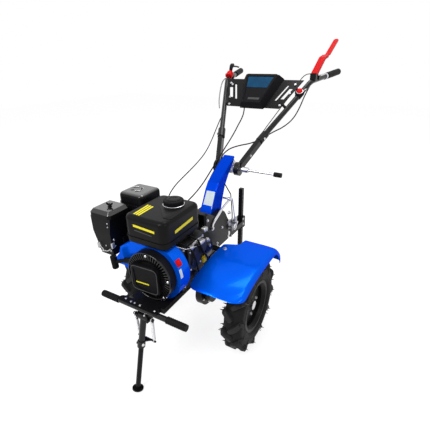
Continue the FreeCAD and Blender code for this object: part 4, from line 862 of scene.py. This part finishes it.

# %% [markdown]
# The control cables run from the handlebars to the gearbox and the engine. Each is a stiff outer sheath
# held at its two ends, so it hangs in one smooth line: a NURBS curve with the route's points as its
# control points.

# %% Control cables
CLUTCH_ROUTE = [(238, 754, 1058.9), (222, 722, 1008), (214, 684, 953), (200, 632, 900), (170, 572, 866),
                (138, 512, 850), (104, 462, 824), (66, 414, 806), (22, 372, 800), (-14, 336, 788),
                (-36, 308, 762), (-33, 288, 738), (-32.4, 254, 724), (-32.4, 215, 703), (-32.4, 178, 678),
                (-32.4, 148, 640), (-32.4, 122, 596), (-33, 104, 557)]
THROTTLE_ROUTE = [(-54, 584.7, 974.3), (-58, 594, 947), (-59, 586, 914), (-58, 556, 889),
                  (-57, 524, 871), (-54, 492, 853), (-54, 452, 827), (-54, 412, 804), (-52, 368, 784),
                  (-50, 324, 762), (-51, 288, 738), (-52, 254, 720), (-60, 222, 690), (-64, 184, 662),
                  (-66, 140, 640), (-66, 92, 624), (-66, 44, 613), (-64, -4, 603), (-62, -34, 574),
                  (-60, -45, 529.5)]


def sheath(name, route, diameter):
    """The tube of a cable, its line and its length, both read from one smooth curve."""
    curve = bpy.data.curves.new(name, "CURVE")
    curve.dimensions = "3D"
    curve.resolution_u = 10
    line = curve.splines.new("NURBS")
    line.points.add(len(route) - 1)
    for point, place in zip(line.points, route):
        point.co = (*at(*place), 1)
    line.order_u = 3
    line.use_endpoint_u = True
    holder = new_object(name + "_line", curve)
    bpy.context.view_layer.update()
    path = [vert.co.copy() for vert in bpy.data.meshes.new_from_object(holder).vertices]
    curve.bevel_depth = diameter / 2000
    curve.bevel_resolution = 3
    curve.use_fill_caps = True
    tube = plain_mesh(holder)
    bpy.data.objects.remove(holder)
    length = sum((b - a).length for a, b in zip(path, path[1:]))
    print(f"{name}: {length * 1000:.0f} mm long")
    return tube, path, length


def lay_cable(name, route, diameter, finish_name="black_plastic", body=None):
    """Makes one cable. It rides on a body, or stays where it lies in the scene."""
    tube, path, measured = sheath(name, route, diameter)
    cable = keep(name, tube, finish_name, body, 60)
    if not body:
        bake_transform(cable)
    return cable


for name, route, length in (("clutch_cable", CLUTCH_ROUTE, 0.93), ("throttle_cable", THROTTLE_ROUTE, 0.82)):
    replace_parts(lay_cable(name, route, 6), "cables_on_chassis", "cables_on_handlebars")

# %% [markdown]
# Three thinner cables have no solid of their own: a stop cable from the right tube to the engine, a
# plain wire beside the left tube, and a bright sheath beside the right one.

# %% Thin cables
STOP_ROUTE = [(-150, 556, 940), (-162, 530, 904), (-162, 474, 850), (-150, 400, 800), (-134, 310, 758),
              (-126, 210, 728), (-124, 112, 702), (-128, 34, 676), (-130, -18, 640), (-122, -38, 592),
              (-92, -41, 540), (-79, -42, 504)]
WIRE_ROUTE = [(250, 806, 1098), (224, 776, 1112), (200, 742, 1100), (186, 706, 1064), (166, 668, 1014),
              (140, 606, 958), (120, 546, 908), (104, 490, 866), (102, 452, 846)]
BRIGHT_ROUTE = [(-248, 768, 1084), (-264, 748, 1078), (-262, 712, 1050), (-246, 664, 1006), (-224, 612, 962),
                (-204, 584, 938)]
lay_cable("stop_cable", STOP_ROUTE, 5)
lay_cable("left_wire", WIRE_ROUTE, 4.2, body="handlebars")
lay_cable("right_sheath", BRIGHT_ROUTE, 6, finish_name="sheath_grey", body="handlebars")

# %% [markdown]
# A hexagon bolt has a washer, a six-sided head with a slightly turned top, and no thread to be seen.
# One bolt form serves the whole machine; its spots are found by sending a line onto the solid that it
# holds, so every washer lies flat on its face.

# %% Bolt and screw forms


def bolt_form():
    """A bolt with a washer, its head about 10 mm across, on the origin."""
    shape = single(add_turned, [(-0.5, 0), (-0.5, 7.2), (1.0, 7.2), (1.3, 6.8), (1.3, 0)], ORIGIN, UP, 18)
    add_turned(shape, [(1.0, 0), (1.0, 5.6), (4.6, 5.6), (5.2, 4.8), (5.2, 0)], ORIGIN, UP, 6)
    return shape


def screw_form():
    """A round pan-head screw, about 8 mm across, with a hollow in its head."""
    profile = [(-0.5, 0), (-0.5, 4.2), (1.2, 4.2), (2.4, 3.2), (2.6, 1.6), (1.6, 1.2), (1.6, 0)]
    return single(add_turned, profile, ORIGIN, UP, 14)


def bolt_circle(count, start, radius):
    """Places along and up of bolts round the axle, the first one at a start in degrees."""
    places = [on_circle(math.radians(start) + step, radius) for step in round_steps(count)]
    return [(y, AXLE_HEIGHT + z) for y, z in places]


def same_x(x, *places):
    """Places with the same X."""
    return [(x, y, z) for y, z in places]


def seated(node, places, direction, size=1.0):
    """Spots for bolts, where straight lines from some places meet a solid."""
    return [(on_face(node, place, direction)[0], -Vector(direction), size) for place in places]


def fasten(name, form, spots, finish_name="bright_steel", body="chassis", crease=30):
    """Makes the bolts or screws on some spots, as one piece."""
    keep(name, on_points(form, spots, finish_name), finish_name, body, crease)


print("bolt and screw forms ready")

# %% [markdown]
# The chassis has bolts on nearly every casting: the gearbox's joint, the crankcase's cover, the
# cylinder head, the ring of the lower gear case, and the bracket of the bumper.

# %% Bolts of the chassis
GEARBOX_SPOTS = ((84, 409), (83, 394), (2, 392), (2, 470), (2, 560), (190, 395), (192, 470), (130, 470))
gear_case_spots = bolt_circle(6, 20, 58)
chassis_bolts = [
    *seated("bumper_bracket", [(-81, -377, 500), (-8, -382, 500)], DOWN, 0.7),
    *seated("bumper_bracket", [(x, -381, 500) for x in (-52, -34, 60)], DOWN, 0.6),
    *seated("mudguard_left", [(123, 39, 600)], DOWN, 1.3),
    *seated("mudguard_right", [(-123, 39, 600)], DOWN, 1.3),
    *seated("frame_rails", [(64, -30, 450), (-64, -30, 450)], DOWN),
    *seated("gearbox_housing", same_x(150, *GEARBOX_SPOTS), TO_RIGHT, 0.9),
    *seated("gearbox_housing", same_x(-150, *GEARBOX_SPOTS), TO_LEFT, 0.9),
    *seated("engine_block", same_x(150, (-220, 372), (-150, 366), (-82, 372), (-84, 536), (-218, 536)),
            TO_RIGHT, 0.75),
    *seated("governor", same_x(150, (-198, 520), (-130, 522), (-198, 444), (-130, 444)), TO_RIGHT, 0.6),
    *seated("cylinder_head", same_x(-260, (-200, 446), (-200, 530), (-116, 446), (-116, 530)), TO_LEFT, 0.8),
    *seated("lower_gear_case", same_x(140, *gear_case_spots), TO_RIGHT, 0.85),
    *seated("clutch_housing", [(x, 100, z) for x, z in ((70, 440), (62, 520), (-62, 520), (-70, 440))],
            TO_FRONT, 0.8),
    *seated("clutch_housing", [(0, -43, 700)], DOWN, 0.8),
    *seated("hitch_bracket", same_x(90, (448, 370), (448, 340), (300, 334)), TO_RIGHT, 0.9),
]
fasten("chassis_bolts", bolt_form(), chassis_bolts)

# %% [markdown]
# The console lies on a slope. Two directions, up that slope and off it, give every place on it, for
# its bolts here and for its bead and screen later.

# %% Bolts of the handlebars, the stand and the wheels
SLOPE = Vector((0, 141, 124)).normalized()
OFF_PLATE = Vector((0, -SLOPE.z, SLOPE.y))


def on_console(x, along, lift):
    """A point of the console's plane: across, up the slope and off it, in millimetres."""
    return at(0, 560, 957) + (Vector((x, 0, 0)) + SLOPE * along + OFF_PLATE * lift) / 1000


handlebar_bolts = []
for x, along in ((-169, 148), (181, 158), (142, 20), (-136, 12), (-181, 158), (169, 100), (-150, 60)):
    handlebar_bolts.append((on_console(x, along, 0), OFF_PLATE, 0.85))
for side, word in SIDES:
    handlebar_bolts += seated(f"handlebar_arm_{word}", [(side * 200, 356, 762), (side * 250, 430, 832)],
                              (-side, 0, 0), 0.9)
fasten("handlebar_bolts", bolt_form(), handlebar_bolts, body="handlebars")

stand_bolts = [*seated("stand_sleeve", [(60, -414, 204)], TO_RIGHT, 0.9),
               *seated("stand_sleeve", [(-60, -414, 204)], TO_LEFT, 0.9),
               (at(9, -384, 321.5), Vector((0.2, -0.4, 0.9)), 0.5)]
fasten("stand_bolts", bolt_form(), stand_bolts, body="stand")

for side, word in SIDES:
    rim_bolts = seated(f"rim_{word}", same_x(side * 400, *bolt_circle(5, -80, 64)), (-side, 0, 0), 1.15)
    fasten(f"wheel_bolts_{word}", bolt_form(), rim_bolts, body=f"{word}_wheel")

# %% [markdown]
# The fuel tank has yellow bars where its labels were: on the top, across the front and along the side.
# They are thin plates that follow flat faces, left blank. The filler cap stands on a low pressed
# plateau and has a ribbed edge and a raised middle.

# %% Tank trim
CAP_X, CAP_Y = -6, -141


def plane(origin, across, upward):
    """A place whose X and Y run along two directions, for drawing on a face."""
    across = Vector(across).normalized()
    out = across.cross(Vector(upward)).normalized()
    matrix = Matrix((across, out.cross(across), out)).transposed().to_4x4()
    matrix.translation = origin
    return matrix


def label(name, outlines, place, finish_name="yellow_label", body="chassis", thickness=0.5):
    """Blank labels on one face."""
    shape = bmesh.new()
    for outline in outlines:
        add_plate(shape, outline, thickness, place)
    keep(name, shape, finish_name, body)


TANK_FRONT = plane(at(0, -304.1, 0), TO_LEFT, UP)
TANK_SIDE = plane(at(70.1, 0, 0), TO_REAR, UP)
TANK_TOP = plane(at(0, 0, 677.1), TO_LEFT, TO_REAR)
label("tank_front_bar", [[(-71, 638), (26, 632), (26, 641), (-71, 647)]], TANK_FRONT)
label("tank_front_line", [[(-68, 623), (13, 617.5), (13, 621), (-68, 626.5)]], TANK_FRONT, "grey_line")
label("tank_side_bar", [[(-243, 616), (-128, 624), (-128, 636), (-243, 628)]], TANK_SIDE)
top_bars = []
for i in range(3):
    a, b = i / 3 + 0.02, (i + 0.68) / 3 + 0.02
    front = [(-85 + 33 * share, -283 - 2 * share) for share in (a, b)]
    rear = [(-93 + 38 * share, -192 - 6 * share) for share in (b, a)]
    top_bars.append(front + rear)
label("tank_top_bars", top_bars, TANK_TOP)

edge = [(-58, -118), (-50, -178), (-22, -206), (34, -262), (56, -262), (62, -250), (62, -100), (50, -86),
        (-40, -86), (-54, -96)]
inner = [(x * 0.93 + 0.4, y * 0.965 - 5.6) for x, y in edge]
rings = [[at(x, y, z) for x, y in outline] for outline, z in ((edge, 675), (edge, 677.3), (inner, 679.2))]
keep("tank_plateau", single(add_loft, rings), "tank_paint", crease=24)
neck = [(-1, 0), (-1, 43), (2.5, 43), (3.4, 41.5), (3.4, 0)]
keep("filler_neck", single(add_turned, neck, at(CAP_X, CAP_Y, 677.5), UP, 48), "bright_steel")
middle = [(-1, 0), (-1, 27), (1.2, 26), (2.4, 23), (2.6, 17), (1.4, 15), (1.4, 0)]
keep("cap_middle", single(add_turned, middle, at(CAP_X, CAP_Y, 699), UP, 40), "tank_paint")

# %% [markdown]
# Cooling fins round the starter's drum are blades on a dark ring, made by the axis rule. The ring under
# them is near-black painted shade, so the gaps read as openings. A fine grey bead with rounded corners
# frames the cover's middle: a painted highlight along the edge of its raised frame.

# %% Recoil starter
FAN_HEIGHT = 457
STARTER = at(0, -323, FAN_HEIGHT)
COVER = plane(at(0, -340.1, 0), TO_LEFT, UP)
BEAD_ROUND = 17
openings = [(0.4, 60), (0.4, 95), (-1, 95), (-1, 60)]
# The ring is painted shade behind the gaps between the fins.
keep("starter_openings", single(add_turned, openings, STARTER, TO_FRONT, 72, closed=True), "hole_painted_shade")
blade_sections = [[Vector((x, y, z)) / 1000 for x, y, z in ((r, 1, -w), (r, 1, w), (r, -h, w), (r, -h, -w))]
                  for r, w, h in ((60, 1.4, 1), (70, 1.6, 4.5), (88, 2.0, 5.5), (96, 2.2, 4.5), (98, 2.2, 1))]
BLADES = round_axis(single(add_loft, blade_sections), "black_plastic", TO_REAR, STARTER, 34, -165, 7.2)
rim = [(-1, 95), (5, 95), (6, 96), (6, 98.5), (5, 99.6), (-1, 99.6)]
rim_mesh = as_mesh(single(add_turned, rim, STARTER, TO_FRONT, 72, closed=True))
keep("starter_blades", joined(BLADES, rim_mesh), "tube_enamel")
starter_screws = [(at(x, -328, z), TO_FRONT, size)
                  for x, z, size in ((-5, 545, 1.2), (88, 465, 1.2), (62, 385, 1.1))]
fasten("starter_screws", screw_form(), starter_screws)

frame_corners = ((-70, 395, 1, 1), (50, 399, -1, 1), (50, 503, -1, -1), (-70, 499, 1, -1))
frame_line = []
for i, (x, z, dx, dz) in enumerate(frame_corners):
    for k in range(5):
        c, s = on_circle(math.radians(22.5 * (k if i in (1, 3) else 4 - k)), 1)
        frame_line.append(at(x + dx * BEAD_ROUND * (1 - s), -342.6, z + dz * BEAD_ROUND * (1 - c)))
# A grey bead, as a painted highlight along the cover's raised frame.
keep("starter_cover_edge", single(add_wire, frame_line, 1.6, 8, closed=True), "grey_line", crease=60)
label("starter_cover_bar", [[(-53, 425), (8, 429), (8, 434), (-53, 430)]], COVER)

# %% [markdown]
# On the fan housing's upper corner sits the red stop switch, with a small blank label below it. The
# label bends round the drum, so it is lofted through sections at steps of angle.

# %% Switch and label on the fan housing
PATCH_STEPS = 8


def drum_patch(shape, angle_from, angle_to, y_from, y_to, radius, lift):
    """A thin patch on the fan housing's drum."""
    sections = []
    for i in range(PATCH_STEPS + 1):
        c, s = on_circle(math.radians(angle_from + (angle_to - angle_from) * i / PATCH_STEPS), 1)
        corners = ((radius, y_from), (radius + lift, y_from), (radius + lift, y_to), (radius, y_to))
        sections.append([at(c * r, y, FAN_HEIGHT + s * r) for r, y in corners])
    add_loft(shape, sections)


keep("housing_label", single(drum_patch, 4, 21, -290, -276, 118.6, 1.0), "pale_label")
keep("stop_switch", single(drum_patch, 26, 38.5, -288, -265, 117, 6), "red_plastic")
button = [(-1, 0), (-1, 9), (3, 8.5), (5, 6), (5.4, 0)]
keep("stop_switch_button", single(add_turned, button, at(104.2, -275, 522), (0.84, 0, 0.54), 20),
     "red_plastic", crease=40)

# %% [markdown]
# The air cleaner's lid is held by a wing nut. Under the body hang the carburettor's screws and levers,
# which catch the light.

# %% Air cleaner trim
WING = at(-235, -252, 662)
boss = [(-1, 0), (-1, 9), (1, 9), (2, 6), (9, 5), (11, 3.5), (14, 3.2), (14, 0)]
nut = single(add_turned, boss, WING, UP, 16)
wing = ((-1.6, -4), (1.6, -4), (1.2, 5), (-1.2, 5))
for side, _ in SIDES[::-1]:
    root = WING + Vector((side * 0.003, 0, 0.005))
    tip = WING + Vector((side * 0.013, side * 0.004, 0.015))
    add_loft(nut, [[point + Vector((0, y, z * high)) / 1000 for y, z in wing]
                   for point, high in ((root, 1.0), (root.lerp(tip, 0.6), 1.0), (tip, 0.5))])
keep("air_cleaner_wing_nut", nut, "black_plastic", crease=40)
front_screws = ((-207.6, 615, 0.75), (-208.5, 599, 0.75), (-270, 500, 1.0), (-260, 480, 1.1),
                (-212, 492, 1.1), (-236, 510, 0.8))
cleaner_screws = seated("air_cleaner", [(-100, -287, 539)], TO_RIGHT, 1.2)
cleaner_screws += seated("air_cleaner", [(-100, -287, 512)], TO_RIGHT, 1.1)
for x, z, size in front_screws:
    cleaner_screws += seated("air_cleaner", [(x, -400, z)], TO_REAR, size)
fasten("air_cleaner_screws", screw_form(), cleaner_screws, "bare_cast", crease=40)
levers = bmesh.new()
add_rod(levers, [(-206, -306, 506), (-214, -309, 498), (-226, -309, 492), (-240, -307, 490)], 2.2)
add_rod(levers, [(-268, -304, 520), (-262, -307, 506), (-250, -307, 497), (-243, -306, 484)], 2.0)
add_block(levers, (-205, -304, 506), (-196, -290, 530), 2)
add_block(levers, (-285, -303, 488), (-272, -296, 512), 2)
keep("choke_levers", levers, "bare_cast", crease=40)

# %% [markdown]
# The muffler's shield has pressed slots on top, three of them with a bright lip, and a row of holes
# along its front and its side. Slots and holes are thin near-black plates, painted shade in the openings.

# %% Muffler trim
SLOT_LIFT, LIP_LIFT, LIP_OUT = 692.1, 692.4, 0.0045
HOLE_PROFILE = [(-0.5, 0), (-0.5, 2.2), (0.4, 2.2), (0.4, 0)]
slots, lips = bmesh.new(), bmesh.new()
for x, y, turned_by, half, lipped in ((-234, -96, 40, 13, True), (-196, -128, 40, 11, True),
                                      (-200, -98, -50, 10, True), (-226, -128, 40, 6, False)):
    along = Vector((*on_circle(math.radians(turned_by), 1), 0))
    across = Vector((-along.y, along.x, 0))
    outline = [(-half, -3), (half, -3), (half + 2, 0), (half, 3), (-half, 3), (-half - 2, 0)]
    add_plate(slots, outline, 0.4, plane(at(x, y, SLOT_LIFT), along, across))
    if lipped:
        middle, end, out = at(x, y, LIP_LIFT), along * (half + 2) / 1000, across * LIP_OUT
        add_wire(lips, [middle + end * share + out * lift
                        for share, lift in ((-1, 0.2), (-0.8, 1), (0.8, 1), (1, 0.2))], 1.6, 8)
# Painted shade: thin dark plates for the slots' openings.
keep("muffler_slots", slots, "hole_painted_shade")
keep("muffler_lips", lips, "bright_steel", crease=60)
# Painted shade: thin dark discs for the holes.
front_hole = single(add_turned, HOLE_PROFILE, at(-258, -172.2, 652), TO_FRONT, 12)
side_hole = single(add_turned, HOLE_PROFILE, at(-141.8, -160, 652), TO_LEFT, 12)
keep("muffler_holes", rows_of("hole_painted_shade", (front_hole, 14, (8.2, 0, 0)), (side_hole, 13, (0, 8.6, 0))),
     "hole_painted_shade")

# %% [markdown]
# Air drawn by the fan cools the cylinder through thin fins. The line rule stacks them along the
# cylinder, which leans to the machine's right.

# %% Cylinder fins
large_fin = single(add_block, (-160, -226, 425.5), (-157, -93, 552), 1)
small_fin = single(add_block, (-193, -214, 430), (-190.5, -102, 546), 1)
keep("cylinder_fins", rows_of("engine_metal", (large_fin, 8, (8.5, 0, 0)), (small_fin, 4, (8, 0, 0))),
     "engine_metal")

# %% [markdown]
# Beside the crankcase the governor's arm, its rods and springs, a fuel hose and the ignition lead fill
# the space under the tank. They are bent wires, small blocks and one small coil.

# %% Governor rods and hoses
rods = bmesh.new()
add_rod(rods, [(97, -178, 546), (100, -150, 552), (97, -120, 548), (94, -92, 540)], 1.6)
add_rod(rods, [(103, -160, 530), (104, -196, 540), (99, -222, 548), (60, -236, 556)], 1.6)
add_block(rods, (86, -200, 528), (104, -172, 540), 3)
add_block(rods, (86, -140, 520), (108, -98, 534), 4)
add_block(rods, (60, -60, 535), (80, -30, 552), 4)
add_turned(rods, [(-2, 0), (-2, 9), (6, 9), (7, 6), (12, 6), (12, 0)], at(88, -56, 505), TO_LEFT, 16)
add_turned(rods, [(-2, 0), (-2, 7), (5, 7), (5, 0)], at(90, -40, 470), TO_LEFT, 6)
governor_spring = coil(at(97, -176, 543), at(96, -128, 547), 3.2, 0.8, 16, "bare_cast")
keep("governor_arm", joined(as_mesh(rods), governor_spring), "bare_cast", crease=40)
hoses = bmesh.new()
add_rod(hoses, [(52, -150, 568), (78, -150, 560), (104, -146, 548), (110, -138, 520), (110, -120, 486),
                (108, -96, 456), (100, -70, 430), (92, -52, 405)], 4.5, 12)
add_rod(hoses, [(60, -214, 560), (96, -208, 552), (109, -190, 520), (110, -176, 480), (106, -160, 440),
                (96, -140, 400)], 3.5, 12)
add_rod(hoses, [(30, 214, 650), (34, 232, 622), (40, 252, 590), (46, 250, 546), (56, 238, 500),
                (62, 228, 470)], 2.6)
keep("fuel_hoses", hoses, "black_plastic", crease=60)
small_parts = bmesh.new()
add_block(small_parts, (62, 206, 424), (76, 216, 446), 2)
add_block(small_parts, (70, 228, 462), (84, 238, 486), 2)
add_rod(small_parts, [(80, 234, 480), (88, 226, 452), (84, 214, 430), (70, 208, 418)], 2.4)
add_turned(small_parts, [(-3, 0), (-3, 8), (4, 8), (5, 5), (12, 5), (12, 0)], at(62, 226, 470), TO_LEFT, 14)
add_turned(small_parts, [(-3, 0), (-3, 9), (3, 9), (4, 5), (9, 5), (9, 0)], at(60, 196, 520), TO_LEFT, 6)
keep("linkage_small_parts", small_parts, "bare_cast", crease=40)

# %% [markdown]
# The tower carries a blank white plate on its sloping front. Its outline is drawn straight on that face.

# %% Tower plate
front_point, front_way = on_face("tower", (2, -200, 608), TO_REAR)
up_slope = Vector((0, -front_way.z, front_way.y)) * (1 if front_way.y > 0 else -1)
label("tower_plate", [[(-22, -39), (26, -40), (24, 39), (-19, 38)]], plane(front_point, TO_LEFT, up_slope),
      "pale_label", thickness=0.6)

# %% [markdown]
# The console's front has a raised bead round a sunk panel, a blank blue screen in its upper half, a
# plain bar below, and a gland where the throttle cable comes out.

# %% Console
BEAD_CORNER = 9
face = [Vector(corner) for corner in ((-50, -1), (50, -1), (86, 186), (-86, 186))]
bead_line = []
for i, here in enumerate(face):
    before, after = ((other - here).normalized() * BEAD_CORNER for other in (face[i - 1], face[(i + 1) % 4]))
    for share in (0, 0.25, 0.5, 0.75, 1):
        place = here + before * (1 - share) ** 2 + after * share ** 2
        bead_line.append(on_console(place.x, place.y, 35.5))
keep("console_bead", single(add_wire, bead_line, 3.2, closed=True), "black_plastic", "handlebars", 60)
SCREEN = plane(on_console(0, 0, 35), TO_LEFT, SLOPE)
label("console_screen", [[(-56, 98), (56, 98), (70, 170), (-70, 170)]], SCREEN, "screen_blue", "handlebars",
      0.8)
label("console_bar", [[(-22, 18), (38, 18), (40, 31), (-23, 31)]], SCREEN, "grey_line", "handlebars", 0.6)
gland = [(-6, 0), (-6, 7), (4, 7), (6, 5.5), (12, 5), (16, 3.6), (16, 0)]
keep("console_gland", single(add_turned, gland, at(-54, 585, 974), (0, 0.62, -0.78), 16), "black_plastic",
     "handlebars", 40)

# %% [markdown]
# The throttle is a black collar on the left tube with a red cap in a bright ring.

# %% Throttle
THUMB, THUMB_WAY = at(210, 672.1, 1015.9), Vector((3, -18, 24)).normalized()
TUBE_WAY = Vector((129, 308, 242)).normalized()
drum = [(-2, 0), (-2, 19), (6, 23), (14, 24), (18, 23), (20, 19), (20, 0)]
clamp = [(-14, 13.2), (-14, 17), (14, 17), (14, 13.2)]
collar = single(add_turned, drum, THUMB, THUMB_WAY, 28)
add_turned(collar, clamp, THUMB - TUBE_WAY * 0.004, TUBE_WAY, 28, closed=True)
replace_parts(keep("throttle_collar", collar, "black_plastic", "handlebars"), "throttle_knob")
cap = [(19, 0), (19, 15.5), (25, 15), (28, 12.5), (29.5, 7), (29.8, 0)]
keep("throttle_cap", single(add_turned, cap, THUMB, THUMB_WAY), "red_plastic", "handlebars", 40)
rim = [(19.2, 15.5), (19.2, 18.2), (21.6, 17.8), (22.2, 15.5)]
ring = single(add_turned, rim, THUMB, THUMB_WAY, 28, closed=True)
cable_end = [(14, 6, 12), (20, 14, 22), (24, 26, 26), (22, 40, 24)]
add_wire(ring, [THUMB + Vector(place) / 1000 for place in cable_end], 2.2)
keep("throttle_ring", ring, "bright_steel", "handlebars", 40)

# %% [markdown]
# On the right tube sit a red block and a thick black paddle, which is lofted along its own line.

# %% Right hand controls
drum = [(-17, 13.4), (-17, 17), (-13, 19.5), (9, 19.5), (14, 17), (14, 13.4)]
block = single(add_turned, drum, at(-243, 778, 1099), (0, 0.78, 0.62), 28, closed=True)
add_block(block, (-268, 766, 1084), (-236, 790, 1106), 6)
keep("right_red_block", block, "red_plastic", "handlebars")
sections = []
for x, y, z, half, thick in ((-243, 786, 1110, 9, 8), (-246, 802, 1134, 12, 9), (-251, 820, 1147, 14, 8),
                             (-258, 842, 1150, 13, 7), (-266, 862, 1141, 8, 5)):
    outline = ((-1, 0), (-0.6, 1), (0.6, 1), (1, 0), (0.6, -1), (-0.6, -1))
    sections.append([at(x + a * half, y, z + b * thick) for a, b in outline])
keep("right_paddle", single(add_loft, sections), "black_plastic", "handlebars", 50)

# %% [markdown]
# The red clutch lever turns in a zinc bracket on the left tube, next to a bright clamp ring by the grip.

# %% Lever bracket
GRIP_START, GRIP_WAY = at(241, 746, 1074), Vector((66, 313, 36)).normalized()
over = GRIP_WAY.cross(Vector(TO_LEFT)).normalized()
over = over if over.z > 0 else -over
side_way = over.cross(GRIP_WAY)
clamp = [(150, 13.1), (150, 16.4), (166, 16.4), (166, 13.1)]
bracket = single(add_turned, clamp, GRIP_START, GRIP_WAY, 28, closed=True)
sections = []
for along, half, low, high in ((30, 9, 12, 19), (60, 10, 12, 21), (110, 9, 12, 18), (148, 8, 12, 16)):
    middle = GRIP_START + GRIP_WAY * along / 1000
    outline = ((-half, low), (half, low), (half, high - 2), (half - 3, high), (3 - half, high),
               (-half, high - 2))
    sections.append([middle + (side_way * a + over * b) / 1000 for a, b in outline])
add_loft(bracket, sections)
keep("lever_bracket", bracket, "bright_steel", "handlebars")

# %% [markdown]
# The depth bar at the rear has a row of peg holes on each of its two side faces, drawn as thin
# near-black discs of painted shade.

# %% Depth bar holes
PEG_PROFILE = [(-0.3, 0), (-0.3, 4.2), (0.15, 4.2), (0.15, 0)]
PEG_COUNT, PEG_STEP = 13, 25
pegs = [single(add_turned, PEG_PROFILE, at(side * 11, 458, 215), (side, 0, 0), 14) for side, _ in SIDES]
# Painted shade: dark discs for the peg holes.
keep("depth_bar_holes", rows_of("hole_painted_shade", *((peg, PEG_COUNT, (0, 0, PEG_STEP)) for peg in pegs)),
     "hole_painted_shade", "depth_bar_slide")
